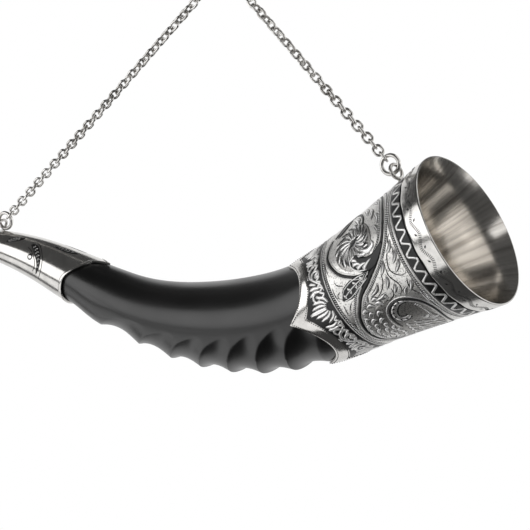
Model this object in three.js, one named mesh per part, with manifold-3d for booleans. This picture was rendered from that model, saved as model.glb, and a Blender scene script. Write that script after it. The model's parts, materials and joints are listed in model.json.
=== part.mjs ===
// A drinking horn with silver mounts, hung by its carrying chain. Millimetres, +Z up.
// The origin is the middle of the link that hangs on a hook. The horn and its chain lie in
// the XZ plane, with the mouth toward +X. Stations are lengths along the horn's centre line
// from the plane of the mouth, and angles run round it from the underside toward -Y.
import * as THREE from 'three';
import { mergeVertices } from 'three/addons/utils/BufferGeometryUtils.js';
import Module from 'manifold-3d';

const wasm = await Module();
wasm.setup();

const { degToRad, smoothstep } = THREE.MathUtils;
const FULL_TURN = 2 * Math.PI;
const ACROSS = new THREE.Vector3(0, 1, 0);

// The centre line: straight at the mouth, one long bend, then a tail that flattens out.
const MOUTH_TILT = degToRad(29);
const MOUTH_STRAIGHT = 68;
const BEND_RADIUS = 168;
const BEND_ANGLE = degToRad(47);
const TAIL_STRAIGHT = 48;
const TAIL_RADIUS = 230;

// The horn: its outer radius at six stations, its wall and its bore.
const HORN_LENGTH = 312;
const THROAT_STATION = 60;
const BELLY_STATION = 125;
const WAIST_STATION = 200;
const TAIL_STATION = 250;
const MOUTH_RADIUS = 34.5;
const THROAT_RADIUS = 26.3;
const BELLY_RADIUS = 22.6;
const WAIST_RADIUS = 15.4;
const TAIL_STATION_RADIUS = 11.7;
const TIP_RADIUS = 5.9;
const HORN_WALL = 4;
const LIP_WALL = 0.5;
const LIP_LENGTH = 30;
const BORE_DEPTH = 190;
const BORE_FULLNESS = 4;

// The scooped ridges on the underside. The last ones stand further apart.
const RIDGE_COUNT = 7;
const RIDGE_RUN_IN = 88;
const RIDGE_START = 103;
const RIDGE_PITCH = 16;
const RIDGE_STRETCH = 0.56;
const RIDGE_STRETCH_POWER = 4;
const RIDGE_DEPTH = 2.4;
const RIDGE_LEAN = 5;
const RIDGE_FULL_ANGLE = degToRad(15);
const RIDGE_END_ANGLE = degToRad(95);

// The silver at the mouth: an outer band, a lining and an engraved collar with five points.
const SHEET_GAP = 0.3;
const RIM_BAND_WIDTH = 11;
const RIM_BAND_THICKNESS = 1.25;
const LINER_THICKNESS = 0.7;
const LINER_DEPTH = 80;
const LINER_FLANGE = 1;
const COLLAR_THICKNESS = 0.8;
const COLLAR_POINTS = 5;
const COLLAR_POINT_ANGLE = degToRad(81);
const COLLAR_HOLLOW_STATION = 76.5;
const COLLAR_POINT_LENGTH = 11.5;
const COLLAR_BORDER_WIDTH = 4;
const BORDER_RAISE = 0.35;

// The silver at the tail: a cap with a pointed tongue on top, and a turned knob.
const CAP_THICKNESS = 0.9;
const CAP_STATION = 238;
const CAP_SHOULDER = 9;
const CAP_SHOULDER_FULL_ANGLE = degToRad(18);
const CAP_SHOULDER_END_ANGLE = degToRad(90);
const CAP_TONGUE = 8;
const CAP_TONGUE_ANGLE = degToRad(22);
const CAP_TONGUE_POWER = 1.5;
const CAP_LIP_WIDTH = 2;
const KNOB_RADIUS = 4.6;
const KNOB_NECK_RADIUS = 2.4;
const KNOB_NECK_LENGTH = 3;

// The eyes that carry the chain, and the rings in them.
const SEAT_GAP = 0.2;
const MOUTH_EYE_STATION = 20;
const MOUTH_EYE_HEIGHT = 6;
const MOUTH_EYE_RADIUS = 3.5;
const MOUTH_EYE_WIRE = 1.7;
const MOUTH_EYE_TURN = degToRad(10);
const EYE_FOOT_RADIUS = 1.9;
const TAIL_EYE_STATION = 297;
const TAIL_EYE_HEIGHT = 2.6;
const TAIL_EYE_RADIUS = 3.6;
const TAIL_EYE_WIRE = 1.5;
const TAIL_EYE_LEAN = degToRad(25);
const RING_RADIUS = 4.25;
const RING_WIRE = 1.9;
const RING_TURN = degToRad(-85);

// The chain of oval links. Inside one run the links bear on each other, and where two runs
// meet they are free by the running clearance.
const LINK_WIDTH = 5.2;
const LINK_INSIDE = 3.8;
const LINK_WIRE = 1.3;
const LINK_BEARING = 0.15;
const CHAIN_CLEARANCE = 0.3;
const MOUTH_LINKS = 32;
const TAIL_LINKS = 48;
const RUNS = 6;
const CHAIN_TWIST = degToRad(-65);

// How finely round forms are cut.
const HORN_SIDES = 26;
const SHEET_SIDES = 32;
const COLLAR_SIDES = 40;
const RIDGE_STEPS = 4;
const SMOOTH_STEPS = 8;
const BORE_STEPS = 4;
const LINER_STEPS = 4;
const BAND_STEPS = 2;
const COLLAR_STEPS = 3;
const COLLAR_INNER_SHARES = [0.8, 0.4, 0];
const CAP_STEPS = 6;
const KNOB_STEPS = 6;
const SEAT_STEPS = 4;
const WIRE_SIDES = 4;
const LINK_BEND_STEPS = 4;
const RING_STEPS = 16;
const RING_SIDES = 6;
const FOOT_SIDES = 10;

const silver = new THREE.MeshStandardMaterial({ color: 0xc9c7c3, roughness: 0.25, metalness: 1 });
const blackHorn = new THREE.MeshStandardMaterial({ color: 0x0c0c0d, roughness: 0.25, metalness: 0 });

const part = new THREE.Group();

// Where the centre line is at a station, and which way it heads toward the mouth.
function spine(station) {
  const spans = [
    [MOUTH_STRAIGHT, 0],
    [BEND_RADIUS * BEND_ANGLE, 1 / BEND_RADIUS],
    [TAIL_STRAIGHT, 0],
    [Infinity, -1 / TAIL_RADIUS],
  ];
  const place = new THREE.Vector3();
  let heading = MOUTH_TILT;
  let left = station;
  for (const [length, curvature] of spans) {
    const run = Math.min(left, length);
    const turn = run * curvature;
    const chord = turn === 0 ? run : (2 / curvature) * Math.sin(turn / 2);
    place.x -= chord * Math.cos(heading - turn / 2);
    place.z -= chord * Math.sin(heading - turn / 2);
    heading -= turn;
    left -= run;
  }
  const ahead = new THREE.Vector3(Math.cos(heading), 0, Math.sin(heading));
  const up = new THREE.Vector3(-Math.sin(heading), 0, Math.cos(heading));
  return { place, ahead, up };
}

function pointAt(station, angle, radius) {
  const { place, up } = spine(station);
  return place
    .addScaledVector(up, -radius * Math.cos(angle))
    .addScaledVector(ACROSS, -radius * Math.sin(angle));
}

const radiusCurve = new THREE.CubicInterpolant(
  [0, THROAT_STATION, BELLY_STATION, WAIST_STATION, TAIL_STATION, HORN_LENGTH],
  [MOUTH_RADIUS, THROAT_RADIUS, BELLY_RADIUS, WAIST_RADIUS, TAIL_STATION_RADIUS, TIP_RADIUS],
  1,
);
const hornRadius = (station) => radiusCurve.evaluate(Math.min(station, HORN_LENGTH))[0];
const wallAt = (station) => LIP_WALL + (HORN_WALL - LIP_WALL) * smoothstep(station, 0, LIP_LENGTH);
const boreRadius = (station) =>
  (hornRadius(station) - wallAt(station)) * Math.sqrt(1 - (station / BORE_DEPTH) ** BORE_FULLNESS);
const collarRadius = (station) => hornRadius(station) + SHEET_GAP + COLLAR_THICKNESS;
const capRadius = (station) => hornRadius(station) + SHEET_GAP + CAP_THICKNESS;

const spread = (from, to, count) =>
  Array.from({ length: count + 1 }, (_, i) => from + ((to - from) * i) / count);

// Shared corners are merged, faces with no area are dropped, and the skin is made to face out.
function closedBody(geometry) {
  const bare = new THREE.BufferGeometry();
  bare.setAttribute('position', geometry.getAttribute('position'));
  bare.setIndex(geometry.getIndex());
  const merged = mergeVertices(bare, 1e-4);
  const at = merged.getAttribute('position');
  const old = merged.getIndex().array;
  const corner = [new THREE.Vector3(), new THREE.Vector3(), new THREE.Vector3()];
  const faces = [];
  let volume = 0;
  for (let i = 0; i < old.length; i += 3) {
    const face = [old[i], old[i + 1], old[i + 2]];
    if (new Set(face).size < 3) continue;
    faces.push(face);
    face.forEach((vertex, k) => corner[k].fromBufferAttribute(at, vertex));
    volume += corner[0].dot(corner[1].cross(corner[2]));
  }
  merged.setIndex(faces.flatMap(([a, b, c]) => (volume < 0 ? [a, c, b] : [a, b, c])));
  return merged;
}

// A skin through rows of points. Each row closes on itself, and with `ring` so does the last row
// on the first.
function skin(rows, ring) {
  const count = rows[0].length;
  const faces = [];
  const steps = ring ? rows.length : rows.length - 1;
  for (let i = 0; i < steps; i += 1) {
    const near = i * count;
    const far = ((i + 1) % rows.length) * count;
    for (let j = 0; j < count; j += 1) {
      const next = (j + 1) % count;
      faces.push(near + j, far + j, near + next, near + next, far + j, far + next);
    }
  }
  const geometry = new THREE.BufferGeometry();
  const points = rows.flat().flatMap((point) => point.toArray());
  geometry.setAttribute('position', new THREE.Float32BufferAttribute(points, 3));
  geometry.setIndex(faces);
  return closedBody(geometry);
}

// Rows round the horn: each row's station and radius may change with the angle.
function loft(rows, sides, ring) {
  const angles = spread(0, FULL_TURN, sides).slice(0, -1);
  const points = rows.map(({ station, radius }) =>
    angles.map((angle) => {
      const where = station(angle);
      return pointAt(where, angle, radius(where, angle));
    }),
  );
  return skin(points, ring);
}

const row = (station, radius) => ({ station: () => station, radius });
const pole = (station) => row(station, () => 0);

function toSolid(geometry) {
  const body = closedBody(geometry);
  return new wasm.Manifold(
    new wasm.Mesh({
      numProp: 3,
      vertProperties: new Float32Array(body.getAttribute('position').array),
      triVerts: new Uint32Array(body.getIndex().array),
    }),
  );
}

function toGeometry(solid) {
  const mesh = solid.getMesh();
  const geometry = new THREE.BufferGeometry();
  geometry.setAttribute('position', new THREE.BufferAttribute(mesh.vertProperties, 3));
  geometry.setIndex(new THREE.BufferAttribute(mesh.triVerts, 1));
  return geometry;
}

function addPiece(group, name, geometry, material) {
  geometry.computeVertexNormals();
  const mesh = new THREE.Mesh(geometry, material);
  mesh.name = name;
  group.add(mesh);
}

// The horn's underside is scooped between one ridge and the next, deepest at the bottom.
const ridges = [RIDGE_RUN_IN, RIDGE_START];
for (let i = 0; i < RIDGE_COUNT - 1; i += 1) {
  const stretch = RIDGE_STRETCH * (i / (RIDGE_COUNT - 2)) ** RIDGE_STRETCH_POWER;
  ridges.push(ridges.at(-1) + RIDGE_PITCH * (1 + stretch));
}
const fromUnderside = (angle) => Math.min(angle, FULL_TURN - angle);
const ridgeLean = (angle) => RIDGE_LEAN * (fromUnderside(angle) / (Math.PI / 2)) ** 2;

function scoopDepth(share, angle) {
  const fade = 1 - smoothstep(fromUnderside(angle), RIDGE_FULL_ANGLE, RIDGE_END_ANGLE);
  return RIDGE_DEPTH * fade * 4 * share * (1 - share);
}

function ridgeRows() {
  const rows = [];
  for (let i = 0; i < RIDGE_COUNT; i += 1) {
    const [from, to] = [ridges[i], ridges[i + 1]];
    for (let step = 0; step < RIDGE_STEPS; step += 1) {
      const share = step / RIDGE_STEPS;
      const along = i === 0 ? share : 1;
      rows.push({
        station: (angle) => from + (to - from) * share + along * ridgeLean(angle),
        radius: (station, angle) => hornRadius(station) - scoopDepth(share, angle),
      });
    }
  }
  rows.push({ station: (angle) => ridges.at(-1) + ridgeLean(angle), radius: hornRadius });
  return rows;
}

function hornBody() {
  const start = LINER_FLANGE + SHEET_GAP;
  const lined = spread(start, LINER_DEPTH, LINER_STEPS);
  const bore = [...lined, ...spread(LINER_DEPTH, BORE_DEPTH, BORE_STEPS).slice(1, -1)];
  const smooth = (stations) => stations.map((station) => row(station, hornRadius));
  const rearStart = ridges.at(-1) + ridgeLean(Math.PI);
  return loft(
    [
      pole(BORE_DEPTH),
      ...bore.reverse().map((station) => row(station, boreRadius)),
      ...smooth(spread(start, RIDGE_RUN_IN, SMOOTH_STEPS).slice(0, -1)),
      ...ridgeRows(),
      ...smooth(spread(rearStart, HORN_LENGTH, SMOOTH_STEPS).slice(1)),
      pole(HORN_LENGTH),
    ],
    HORN_SIDES,
    false,
  );
}

function mouthLiner() {
  const outside = (station) => boreRadius(station) - SHEET_GAP;
  const inside = (station) => outside(station) - LINER_THICKNESS;
  const flange = () => hornRadius(0);
  const stations = spread(LINER_FLANGE, LINER_DEPTH, LINER_STEPS);
  return loft(
    [
      row(0, flange),
      row(LINER_FLANGE, flange),
      ...stations.map((station) => row(station, outside)),
      ...stations.toReversed().map((station) => row(station, inside)),
      row(0, inside),
    ],
    SHEET_SIDES,
    true,
  );
}

function rimBand() {
  const inside = (station) => hornRadius(station) + SHEET_GAP;
  const outside = (station) => inside(station) + RIM_BAND_THICKNESS;
  const stations = spread(0, RIM_BAND_WIDTH, BAND_STEPS);
  return loft(
    [
      ...stations.map((station) => row(station, inside)),
      ...stations.toReversed().map((station) => row(station, outside)),
    ],
    SHEET_SIDES,
    true,
  );
}

// The collar's rear edge runs in hollows between points, each point drawn out to a cusp.
function collarEdge(angle) {
  const turn = (COLLAR_POINTS * (angle - COLLAR_POINT_ANGLE)) / FULL_TURN;
  const fromPoint = 2 * Math.abs(turn - Math.round(turn));
  return COLLAR_HOLLOW_STATION + COLLAR_POINT_LENGTH * (1 - fromPoint) ** 2;
}

function mouthCollar() {
  const front = RIM_BAND_WIDTH + SHEET_GAP;
  const border = (angle) => collarEdge(angle) - COLLAR_BORDER_WIDTH;
  const between = (share) => (angle) => front + (border(angle) - front) * share;
  const step = (angle) => border(angle) + BORDER_RAISE;
  const raised = (station) => collarRadius(station) + BORDER_RAISE;
  const inside = (station) => hornRadius(station) + SHEET_GAP;
  return loft(
    [
      ...spread(0, 1, COLLAR_STEPS).map((share) => ({ station: between(share), radius: collarRadius })),
      { station: step, radius: raised },
      { station: collarEdge, radius: raised },
      { station: collarEdge, radius: inside },
      ...COLLAR_INNER_SHARES.map((share) => ({ station: between(share), radius: inside })),
    ],
    COLLAR_SIDES,
    true,
  );
}

// The cap's front edge steps forward to a shoulder and then to a tongue along the top.
function capEdge(angle) {
  const fromTop = Math.abs(angle - Math.PI);
  const shoulder = CAP_SHOULDER * (1 - smoothstep(fromTop, CAP_SHOULDER_FULL_ANGLE, CAP_SHOULDER_END_ANGLE));
  const tongue = CAP_TONGUE * Math.max(0, 1 - fromTop / CAP_TONGUE_ANGLE) ** CAP_TONGUE_POWER;
  return CAP_STATION - shoulder - tongue;
}

const capEnd = HORN_LENGTH + SHEET_GAP + CAP_THICKNESS;

function tailCap() {
  const lip = (angle) => capEdge(angle) + CAP_LIP_WIDTH;
  const between = (from, to, share) => (angle) => from(angle) + (to - from(angle)) * share;
  const raised = (station) => capRadius(station) + BORDER_RAISE;
  const inside = (station) => hornRadius(station) + SHEET_GAP;
  const hornEnd = HORN_LENGTH + SHEET_GAP;
  const outer = (share) => ({ station: between(lip, capEnd, share), radius: capRadius });
  const inner = (share) => ({ station: between(capEdge, hornEnd, share), radius: inside });
  return loft(
    [
      pole(capEnd),
      ...spread(1, 0, CAP_STEPS).map(outer),
      { station: (angle) => lip(angle) - BORDER_RAISE, radius: raised },
      { station: capEdge, radius: raised },
      ...spread(0, 1, SMOOTH_STEPS).map(inner),
      pole(hornEnd),
    ],
    HORN_SIDES,
    false,
  );
}

// A turned knob: a flange on the cap's end, a neck and a ball.
function tailKnob() {
  const flange = capRadius(capEnd);
  const ballCentre = KNOB_NECK_LENGTH + Math.sqrt(KNOB_RADIUS ** 2 - KNOB_NECK_RADIUS ** 2);
  const neckTurn = Math.asin(KNOB_NECK_RADIUS / KNOB_RADIUS);
  const ball = spread(Math.PI - neckTurn, 0, KNOB_STEPS).map(
    (turn) => new THREE.Vector2(KNOB_RADIUS * Math.sin(turn), ballCentre + KNOB_RADIUS * Math.cos(turn)),
  );
  const profile = [
    new THREE.Vector2(0, 0),
    new THREE.Vector2(flange, 0),
    new THREE.Vector2(flange, CAP_THICKNESS),
    new THREE.Vector2(KNOB_NECK_RADIUS, KNOB_NECK_LENGTH / 2),
    ...ball,
  ];
  profile.at(-1).x = 0;
  const { place, ahead } = spine(capEnd + SEAT_GAP);
  const turnTo = new THREE.Quaternion().setFromUnitVectors(ACROSS, ahead.clone().negate());
  const geometry = new THREE.LatheGeometry(profile, RING_STEPS);
  geometry.applyQuaternion(turnTo);
  geometry.translate(...place.toArray());
  return closedBody(geometry);
}

// An eye's foot is cut to the mount that it is soldered on.
function seatOn(solid, radiusAt, station, reach) {
  const [from, to] = [station - reach, station + reach];
  const rows = spread(from, to, SEAT_STEPS).map((at) => row(at, (near) => radiusAt(near) + SEAT_GAP));
  const mount = toSolid(loft([pole(from), ...rows, pole(to)], SHEET_SIDES, false));
  return toGeometry(solid.subtract(mount));
}

function eyeCentre(station, radius, height) {
  return pointAt(station, Math.PI, radius + height);
}
const mouthEyeCentre = eyeCentre(MOUTH_EYE_STATION, collarRadius(MOUTH_EYE_STATION), MOUTH_EYE_HEIGHT);
const tailEyeCentre = eyeCentre(TAIL_EYE_STATION, capRadius(TAIL_EYE_STATION), TAIL_EYE_HEIGHT);

// A full ring of wire on a small foot.
function mouthEye() {
  const { ahead, up } = spine(MOUTH_EYE_STATION);
  const loop = new THREE.TorusGeometry(MOUTH_EYE_RADIUS, MOUTH_EYE_WIRE / 2, RING_SIDES, RING_STEPS);
  const side = ACROSS.clone().multiplyScalar(Math.cos(MOUTH_EYE_TURN));
  side.addScaledVector(ahead, Math.sin(MOUTH_EYE_TURN));
  loop.applyMatrix4(new THREE.Matrix4().makeBasis(side, up, side.clone().cross(up)));
  loop.translate(...mouthEyeCentre.toArray());
  const footHeight = MOUTH_EYE_HEIGHT - MOUTH_EYE_RADIUS + MOUTH_EYE_WIRE;
  const foot = new THREE.CylinderGeometry(MOUTH_EYE_WIRE / 2, EYE_FOOT_RADIUS, footHeight, FOOT_SIDES);
  foot.applyQuaternion(new THREE.Quaternion().setFromUnitVectors(ACROSS, up));
  const footMiddle = mouthEyeCentre.clone().addScaledVector(up, -MOUTH_EYE_RADIUS - footHeight / 2);
  foot.translate(...footMiddle.toArray());
  return seatOn(toSolid(loop).add(toSolid(foot)), collarRadius, MOUTH_EYE_STATION, 2 * MOUTH_EYE_RADIUS);
}

// A staple of wire across the cap, leaning with the chain, with both legs on the cap.
function tailEye() {
  const { ahead, up } = spine(TAIL_EYE_STATION);
  const crown = up.clone().applyAxisAngle(ACROSS, TAIL_EYE_LEAN);
  const through = ahead.clone().applyAxisAngle(ACROSS, TAIL_EYE_LEAN);
  const legEnd = -TAIL_EYE_HEIGHT - TAIL_EYE_RADIUS;
  const side = (sign, height) =>
    tailEyeCentre.clone().addScaledVector(ACROSS, sign * TAIL_EYE_RADIUS).addScaledVector(crown, height);
  const bow = spread(0, Math.PI, RING_STEPS / 2).map((turn) =>
    tailEyeCentre
      .clone()
      .addScaledVector(ACROSS, TAIL_EYE_RADIUS * Math.cos(turn))
      .addScaledVector(crown, TAIL_EYE_RADIUS * Math.sin(turn)),
  );
  const outward = bow.map((point) => point.clone().sub(tailEyeCentre).normalize());
  const path = [side(1, legEnd), ...bow, side(-1, legEnd)];
  const spokes = [outward[0], ...outward, outward.at(-1)];
  const rows = path.map((point, i) => wireSection(point, spokes[i], through, TAIL_EYE_WIRE / 2, RING_SIDES));
  const ends = [path[0], path.at(-1)].map((point) => rows[0].map(() => point));
  const staple = toSolid(skin([ends[0], ...rows, ends[1]], false));
  return seatOn(staple, capRadius, TAIL_EYE_STATION, 2 * TAIL_EYE_RADIUS);
}

// One section of a wire, with a corner on the inside of the bend.
function wireSection(point, outward, normal, radius, sides) {
  return spread(0, FULL_TURN, sides)
    .slice(0, -1)
    .map((turn) =>
      point
        .clone()
        .addScaledVector(outward, -radius * Math.cos(turn))
        .addScaledVector(normal, radius * Math.sin(turn)),
    );
}

const horn = new THREE.Group();
addPiece(horn, 'horn_body', hornBody(), blackHorn);
addPiece(horn, 'mouth_liner', mouthLiner(), silver);
addPiece(horn, 'rim_band', rimBand(), silver);
addPiece(horn, 'mouth_collar', mouthCollar(), silver);
addPiece(horn, 'mouth_eye', mouthEye(), silver);
addPiece(horn, 'tail_cap', tailCap(), silver);
addPiece(horn, 'tail_eye', tailEye(), silver);
addPiece(horn, 'tail_knob', tailKnob(), silver);

// One oval link of round wire.
const halfWidth = (LINK_WIDTH - LINK_WIRE) / 2;
const halfLink = (LINK_INSIDE + LINK_WIRE) / 2;
const bendCentre = halfLink - halfWidth;

function linkSolid(centre, along, side) {
  const normal = along.clone().cross(side);
  const rows = [];
  for (const end of [1, -1]) {
    for (const turn of spread(-Math.PI / 2, Math.PI / 2, LINK_BEND_STEPS)) {
      const outward = along.clone().multiplyScalar(end * Math.cos(turn));
      outward.addScaledVector(side, end * Math.sin(turn));
      const point = centre.clone().addScaledVector(along, end * bendCentre);
      point.addScaledVector(outward, halfWidth);
      rows.push(wireSection(point, outward, normal, LINK_WIRE / 2, WIRE_SIDES));
    }
  }
  return toSolid(skin(rows, true));
}

// Distances along an arm from the bend of the hanging link to each link, and on to the eye.
function armStations(links) {
  const pitch = LINK_INSIDE + LINK_BEARING;
  const freePitch = LINK_INSIDE - CHAIN_CLEARANCE;
  const runEnds = spread(0, links, RUNS).map(Math.round);
  const stations = [halfWidth - LINK_WIRE - CHAIN_CLEARANCE + halfLink];
  for (let i = 1; i < links; i += 1) {
    stations.push(stations[i - 1] + (runEnds.includes(i) ? freePitch : pitch));
  }
  const wires = (LINK_WIRE + RING_WIRE) / 2;
  const ring = stations.at(-1) + halfLink + RING_RADIUS - wires - CHAIN_CLEARANCE;
  return { stations, runEnds, ring, length: ring + RING_RADIUS };
}

const mouthArm = armStations(MOUTH_LINKS);
const tailArm = armStations(TAIL_LINKS);

// The taut chain is a triangle: the two arms' lengths from the eyes place the hanging link.
function hangingPoint() {
  const from = mouthEyeCentre.clone().setX(mouthEyeCentre.x - bendCentre);
  const to = tailEyeCentre.clone().setX(tailEyeCentre.x + bendCentre);
  const base = to.clone().sub(from);
  const span = base.length();
  base.normalize();
  const foot = (mouthArm.length ** 2 - tailArm.length ** 2 + span ** 2) / (2 * span);
  const height = Math.sqrt(mouthArm.length ** 2 - foot ** 2);
  const upward = ACROSS.clone().cross(base);
  return from.addScaledVector(base, foot).addScaledVector(upward, height);
}

horn.position.copy(hangingPoint()).negate();
part.add(horn);

const chain = new THREE.Group();
part.add(chain);

function aimArm(arm, side, eye) {
  arm.start = new THREE.Vector3(side * bendCentre, 0, 0);
  arm.down = eye.clone().add(horn.position).sub(arm.start).normalize();
  arm.sideways = arm.down.clone().negate().cross(ACROSS);
}
aimArm(mouthArm, 1, mouthEyeCentre);
aimArm(tailArm, -1, tailEyeCentre);

const armPoint = (arm, station) => arm.start.clone().addScaledVector(arm.down, station);
const armSide = (arm, turn) =>
  ACROSS.clone().multiplyScalar(Math.cos(turn)).addScaledVector(arm.sideways, Math.sin(turn));

function addArm(arm, name) {
  const links = arm.stations.map((station, i) => {
    const turn = (i * Math.PI) / 2 + (CHAIN_TWIST * i) / (arm.stations.length - 1);
    return linkSolid(armPoint(arm, station), arm.down, armSide(arm, turn));
  });
  for (let i = 0; i < RUNS; i += 1) {
    const run = links.slice(arm.runEnds[i], arm.runEnds[i + 1]);
    addPiece(chain, `${name}_chain_${i + 1}`, toGeometry(wasm.Manifold.union(run)), silver);
  }
  const ring = new THREE.TorusGeometry(RING_RADIUS, RING_WIRE / 2, RING_SIDES, RING_STEPS);
  const across = armSide(arm, RING_TURN);
  const up = arm.down.clone().negate();
  ring.applyMatrix4(new THREE.Matrix4().makeBasis(up, across, up.clone().cross(across)));
  ring.translate(...armPoint(arm, arm.ring).toArray());
  addPiece(chain, `${name}_ring`, closedBody(ring), silver);
}

const level = new THREE.Vector3(1, 0, 0);
const upright = new THREE.Vector3(0, 0, 1);
addPiece(chain, 'hang_link', toGeometry(linkSolid(new THREE.Vector3(), level, upright)), silver);
addArm(mouthArm, 'mouth');
addArm(tailArm, 'tail');

// Each fold of the chain turns on a line through one free link joint of each arm, and the horn
// on the line through its two rings where they lie in the eyes.
function foldLine(run) {
  const joint = (arm) => {
    const station = arm.stations[arm.runEnds[run] - 1] + halfLink;
    return armPoint(arm, station - (LINK_WIRE + CHAIN_CLEARANCE) / 2);
  };
  return [joint(tailArm), joint(mouthArm)];
}

export const hinges = {
  folds: spread(1, RUNS - 1, RUNS - 2).map(foldLine),
  horn: [tailArm, mouthArm].map((arm) => armPoint(arm, arm.length)),
};

export default part;
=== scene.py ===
"""A ridged black drinking horn with engraved silver mounts, hung by its chain.

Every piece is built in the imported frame, in metres. Ornament is drawn flat, as turns round the
horn and stations along it, and is then rolled onto the silver.
"""

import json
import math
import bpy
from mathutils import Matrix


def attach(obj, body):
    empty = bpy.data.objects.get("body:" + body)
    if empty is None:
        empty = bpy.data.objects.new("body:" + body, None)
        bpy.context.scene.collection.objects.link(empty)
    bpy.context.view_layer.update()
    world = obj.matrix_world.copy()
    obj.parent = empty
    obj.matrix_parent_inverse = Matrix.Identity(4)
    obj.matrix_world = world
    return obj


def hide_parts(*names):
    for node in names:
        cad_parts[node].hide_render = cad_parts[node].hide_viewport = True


bl_info = {
    "name": "Drinking horn",
    "version": (1, 0, 0),
    "blender": (4, 5, 0),
    "location": "View3D > Sidebar > Drinking horn",
    "description": "Builds a drinking horn with engraved silver mounts on a link chain",
    "category": "Object",
}

import bmesh
import bpy
from mathutils import Matrix, Vector
from mathutils.geometry import interpolate_bezier

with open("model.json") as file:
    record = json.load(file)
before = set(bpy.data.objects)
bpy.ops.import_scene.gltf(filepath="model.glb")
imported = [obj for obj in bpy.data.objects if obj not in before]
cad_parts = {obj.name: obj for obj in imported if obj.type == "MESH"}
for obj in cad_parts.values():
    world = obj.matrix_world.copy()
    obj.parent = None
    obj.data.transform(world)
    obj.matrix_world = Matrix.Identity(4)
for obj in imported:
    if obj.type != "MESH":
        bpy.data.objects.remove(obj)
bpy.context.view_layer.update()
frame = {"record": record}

MM = 0.001
FULL_TURN = 2 * math.pi
ACROSS = Vector((0, 1, 0))
HORN_BODY = "horn"


def length(name, description, default):
    """A length in metres for a property group."""
    return bpy.props.FloatProperty(
        name=name, description=description, default=default, unit="LENGTH", precision=5
    )


def angle(name, description, default):
    """An angle for a property group, with its default in degrees."""
    return bpy.props.FloatProperty(
        name=name, description=description, default=math.radians(default), subtype="ANGLE"
    )


def number(name, description, default):
    """A plain number for a property group."""
    return bpy.props.FloatProperty(name=name, description=description, default=default)


def count(name, description, default):
    """A whole number for a property group."""
    return bpy.props.IntProperty(name=name, description=description, default=default, min=1)


class HornShape(bpy.types.PropertyGroup):
    """Sizes of the horn itself."""

    mouth_straight: length("Straight mouth", "Straight stretch behind the mouth", 0.068)
    bend_radius: length("Bend radius", "Radius of the long bend", 0.168)
    bend_angle: angle("Bend angle", "Turn of the long bend", 47)
    tail_straight: length("Straight tail", "Straight stretch behind the bend", 0.048)
    tail_radius: length("Tail radius", "Radius of the tail, which flattens out", 0.230)
    horn_length: length("Horn length", "Length along the centre line", 0.312)
    throat_station: length("Throat station", "Distance of the throat from the mouth", 0.060)
    belly_station: length("Belly station", "Distance of the belly from the mouth", 0.125)
    waist_station: length("Waist station", "Distance of the waist from the mouth", 0.200)
    tail_station: length("Tail station", "Distance of the tail's measuring point", 0.250)
    mouth_radius: length("Mouth radius", "Radius of the horn at the mouth", 0.0345)
    throat_radius: length("Throat radius", "Radius at the throat", 0.0263)
    belly_radius: length("Belly radius", "Radius at the belly", 0.0226)
    waist_radius: length("Waist radius", "Radius at the waist", 0.0154)
    tail_radius_here: length("Tail section", "Radius at the tail's measuring point", 0.0117)
    tip_radius: length("Tip radius", "Radius at the tip", 0.0059)
    front_edge: length("Front edge", "Distance of the horn's own edge from the mouth", 0.008)
    wall: length("Wall", "Thickness of the horn's wall", 0.004)
    lip_wall: length("Lip wall", "Thickness of the wall at the mouth", 0.0005)
    lip_length: length("Lip length", "Stretch over which the wall thins", 0.030)
    bore_depth: length("Bore depth", "Depth of the hollow", 0.190)
    ridge_count: count("Ridges", "Number of ridges on the underside", 7)
    ridge_run_in: length("Ridge run-in", "Where the first scoop starts", 0.088)
    ridge_start: length("First ridge", "Station of the first ridge", 0.1054)
    ridge_pitch: length("Ridge pitch", "Spacing of the first ridges", 0.01585)
    ridge_stretch: number("Ridge stretch", "How much wider the last spacing is than the first", 0.56)
    ridge_depth: length("Ridge depth", "Depth of a scoop", 0.0024)
    scoop_skew: number("Scoop skew", "How much deeper a scoop is on its tail side", 0.56)
    scoop_low: number("Scoop spring", "Where a scoop's arch springs from, as a share of its height", 0.8)
    ridge_lean: length("Ridge lean", "How far a ridge leans to the mouth up the flank", 0.018)
    top_swell: length("Top swell", "How far the top of the bend stands over the taper", 0.002)
    top_swell_start: length("Top swell start", "Where the swell on top of the bend starts", 0.084)
    top_swell_end: length("Top swell end", "Where the swell on top of the bend ends", 0.226)
    last_swell: length("Last swell", "How far the last ridge stands under the taper", 0.0017)
    last_swell_start: length("Last swell start", "Where the swell under the last ridge starts", 0.196)
    last_swell_end: length("Last swell end", "Where the swell under the last ridge ends", 0.236)
    ridge_end: angle("Ridges end at", "Angle from the underside where ridges run out", 84)


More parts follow.
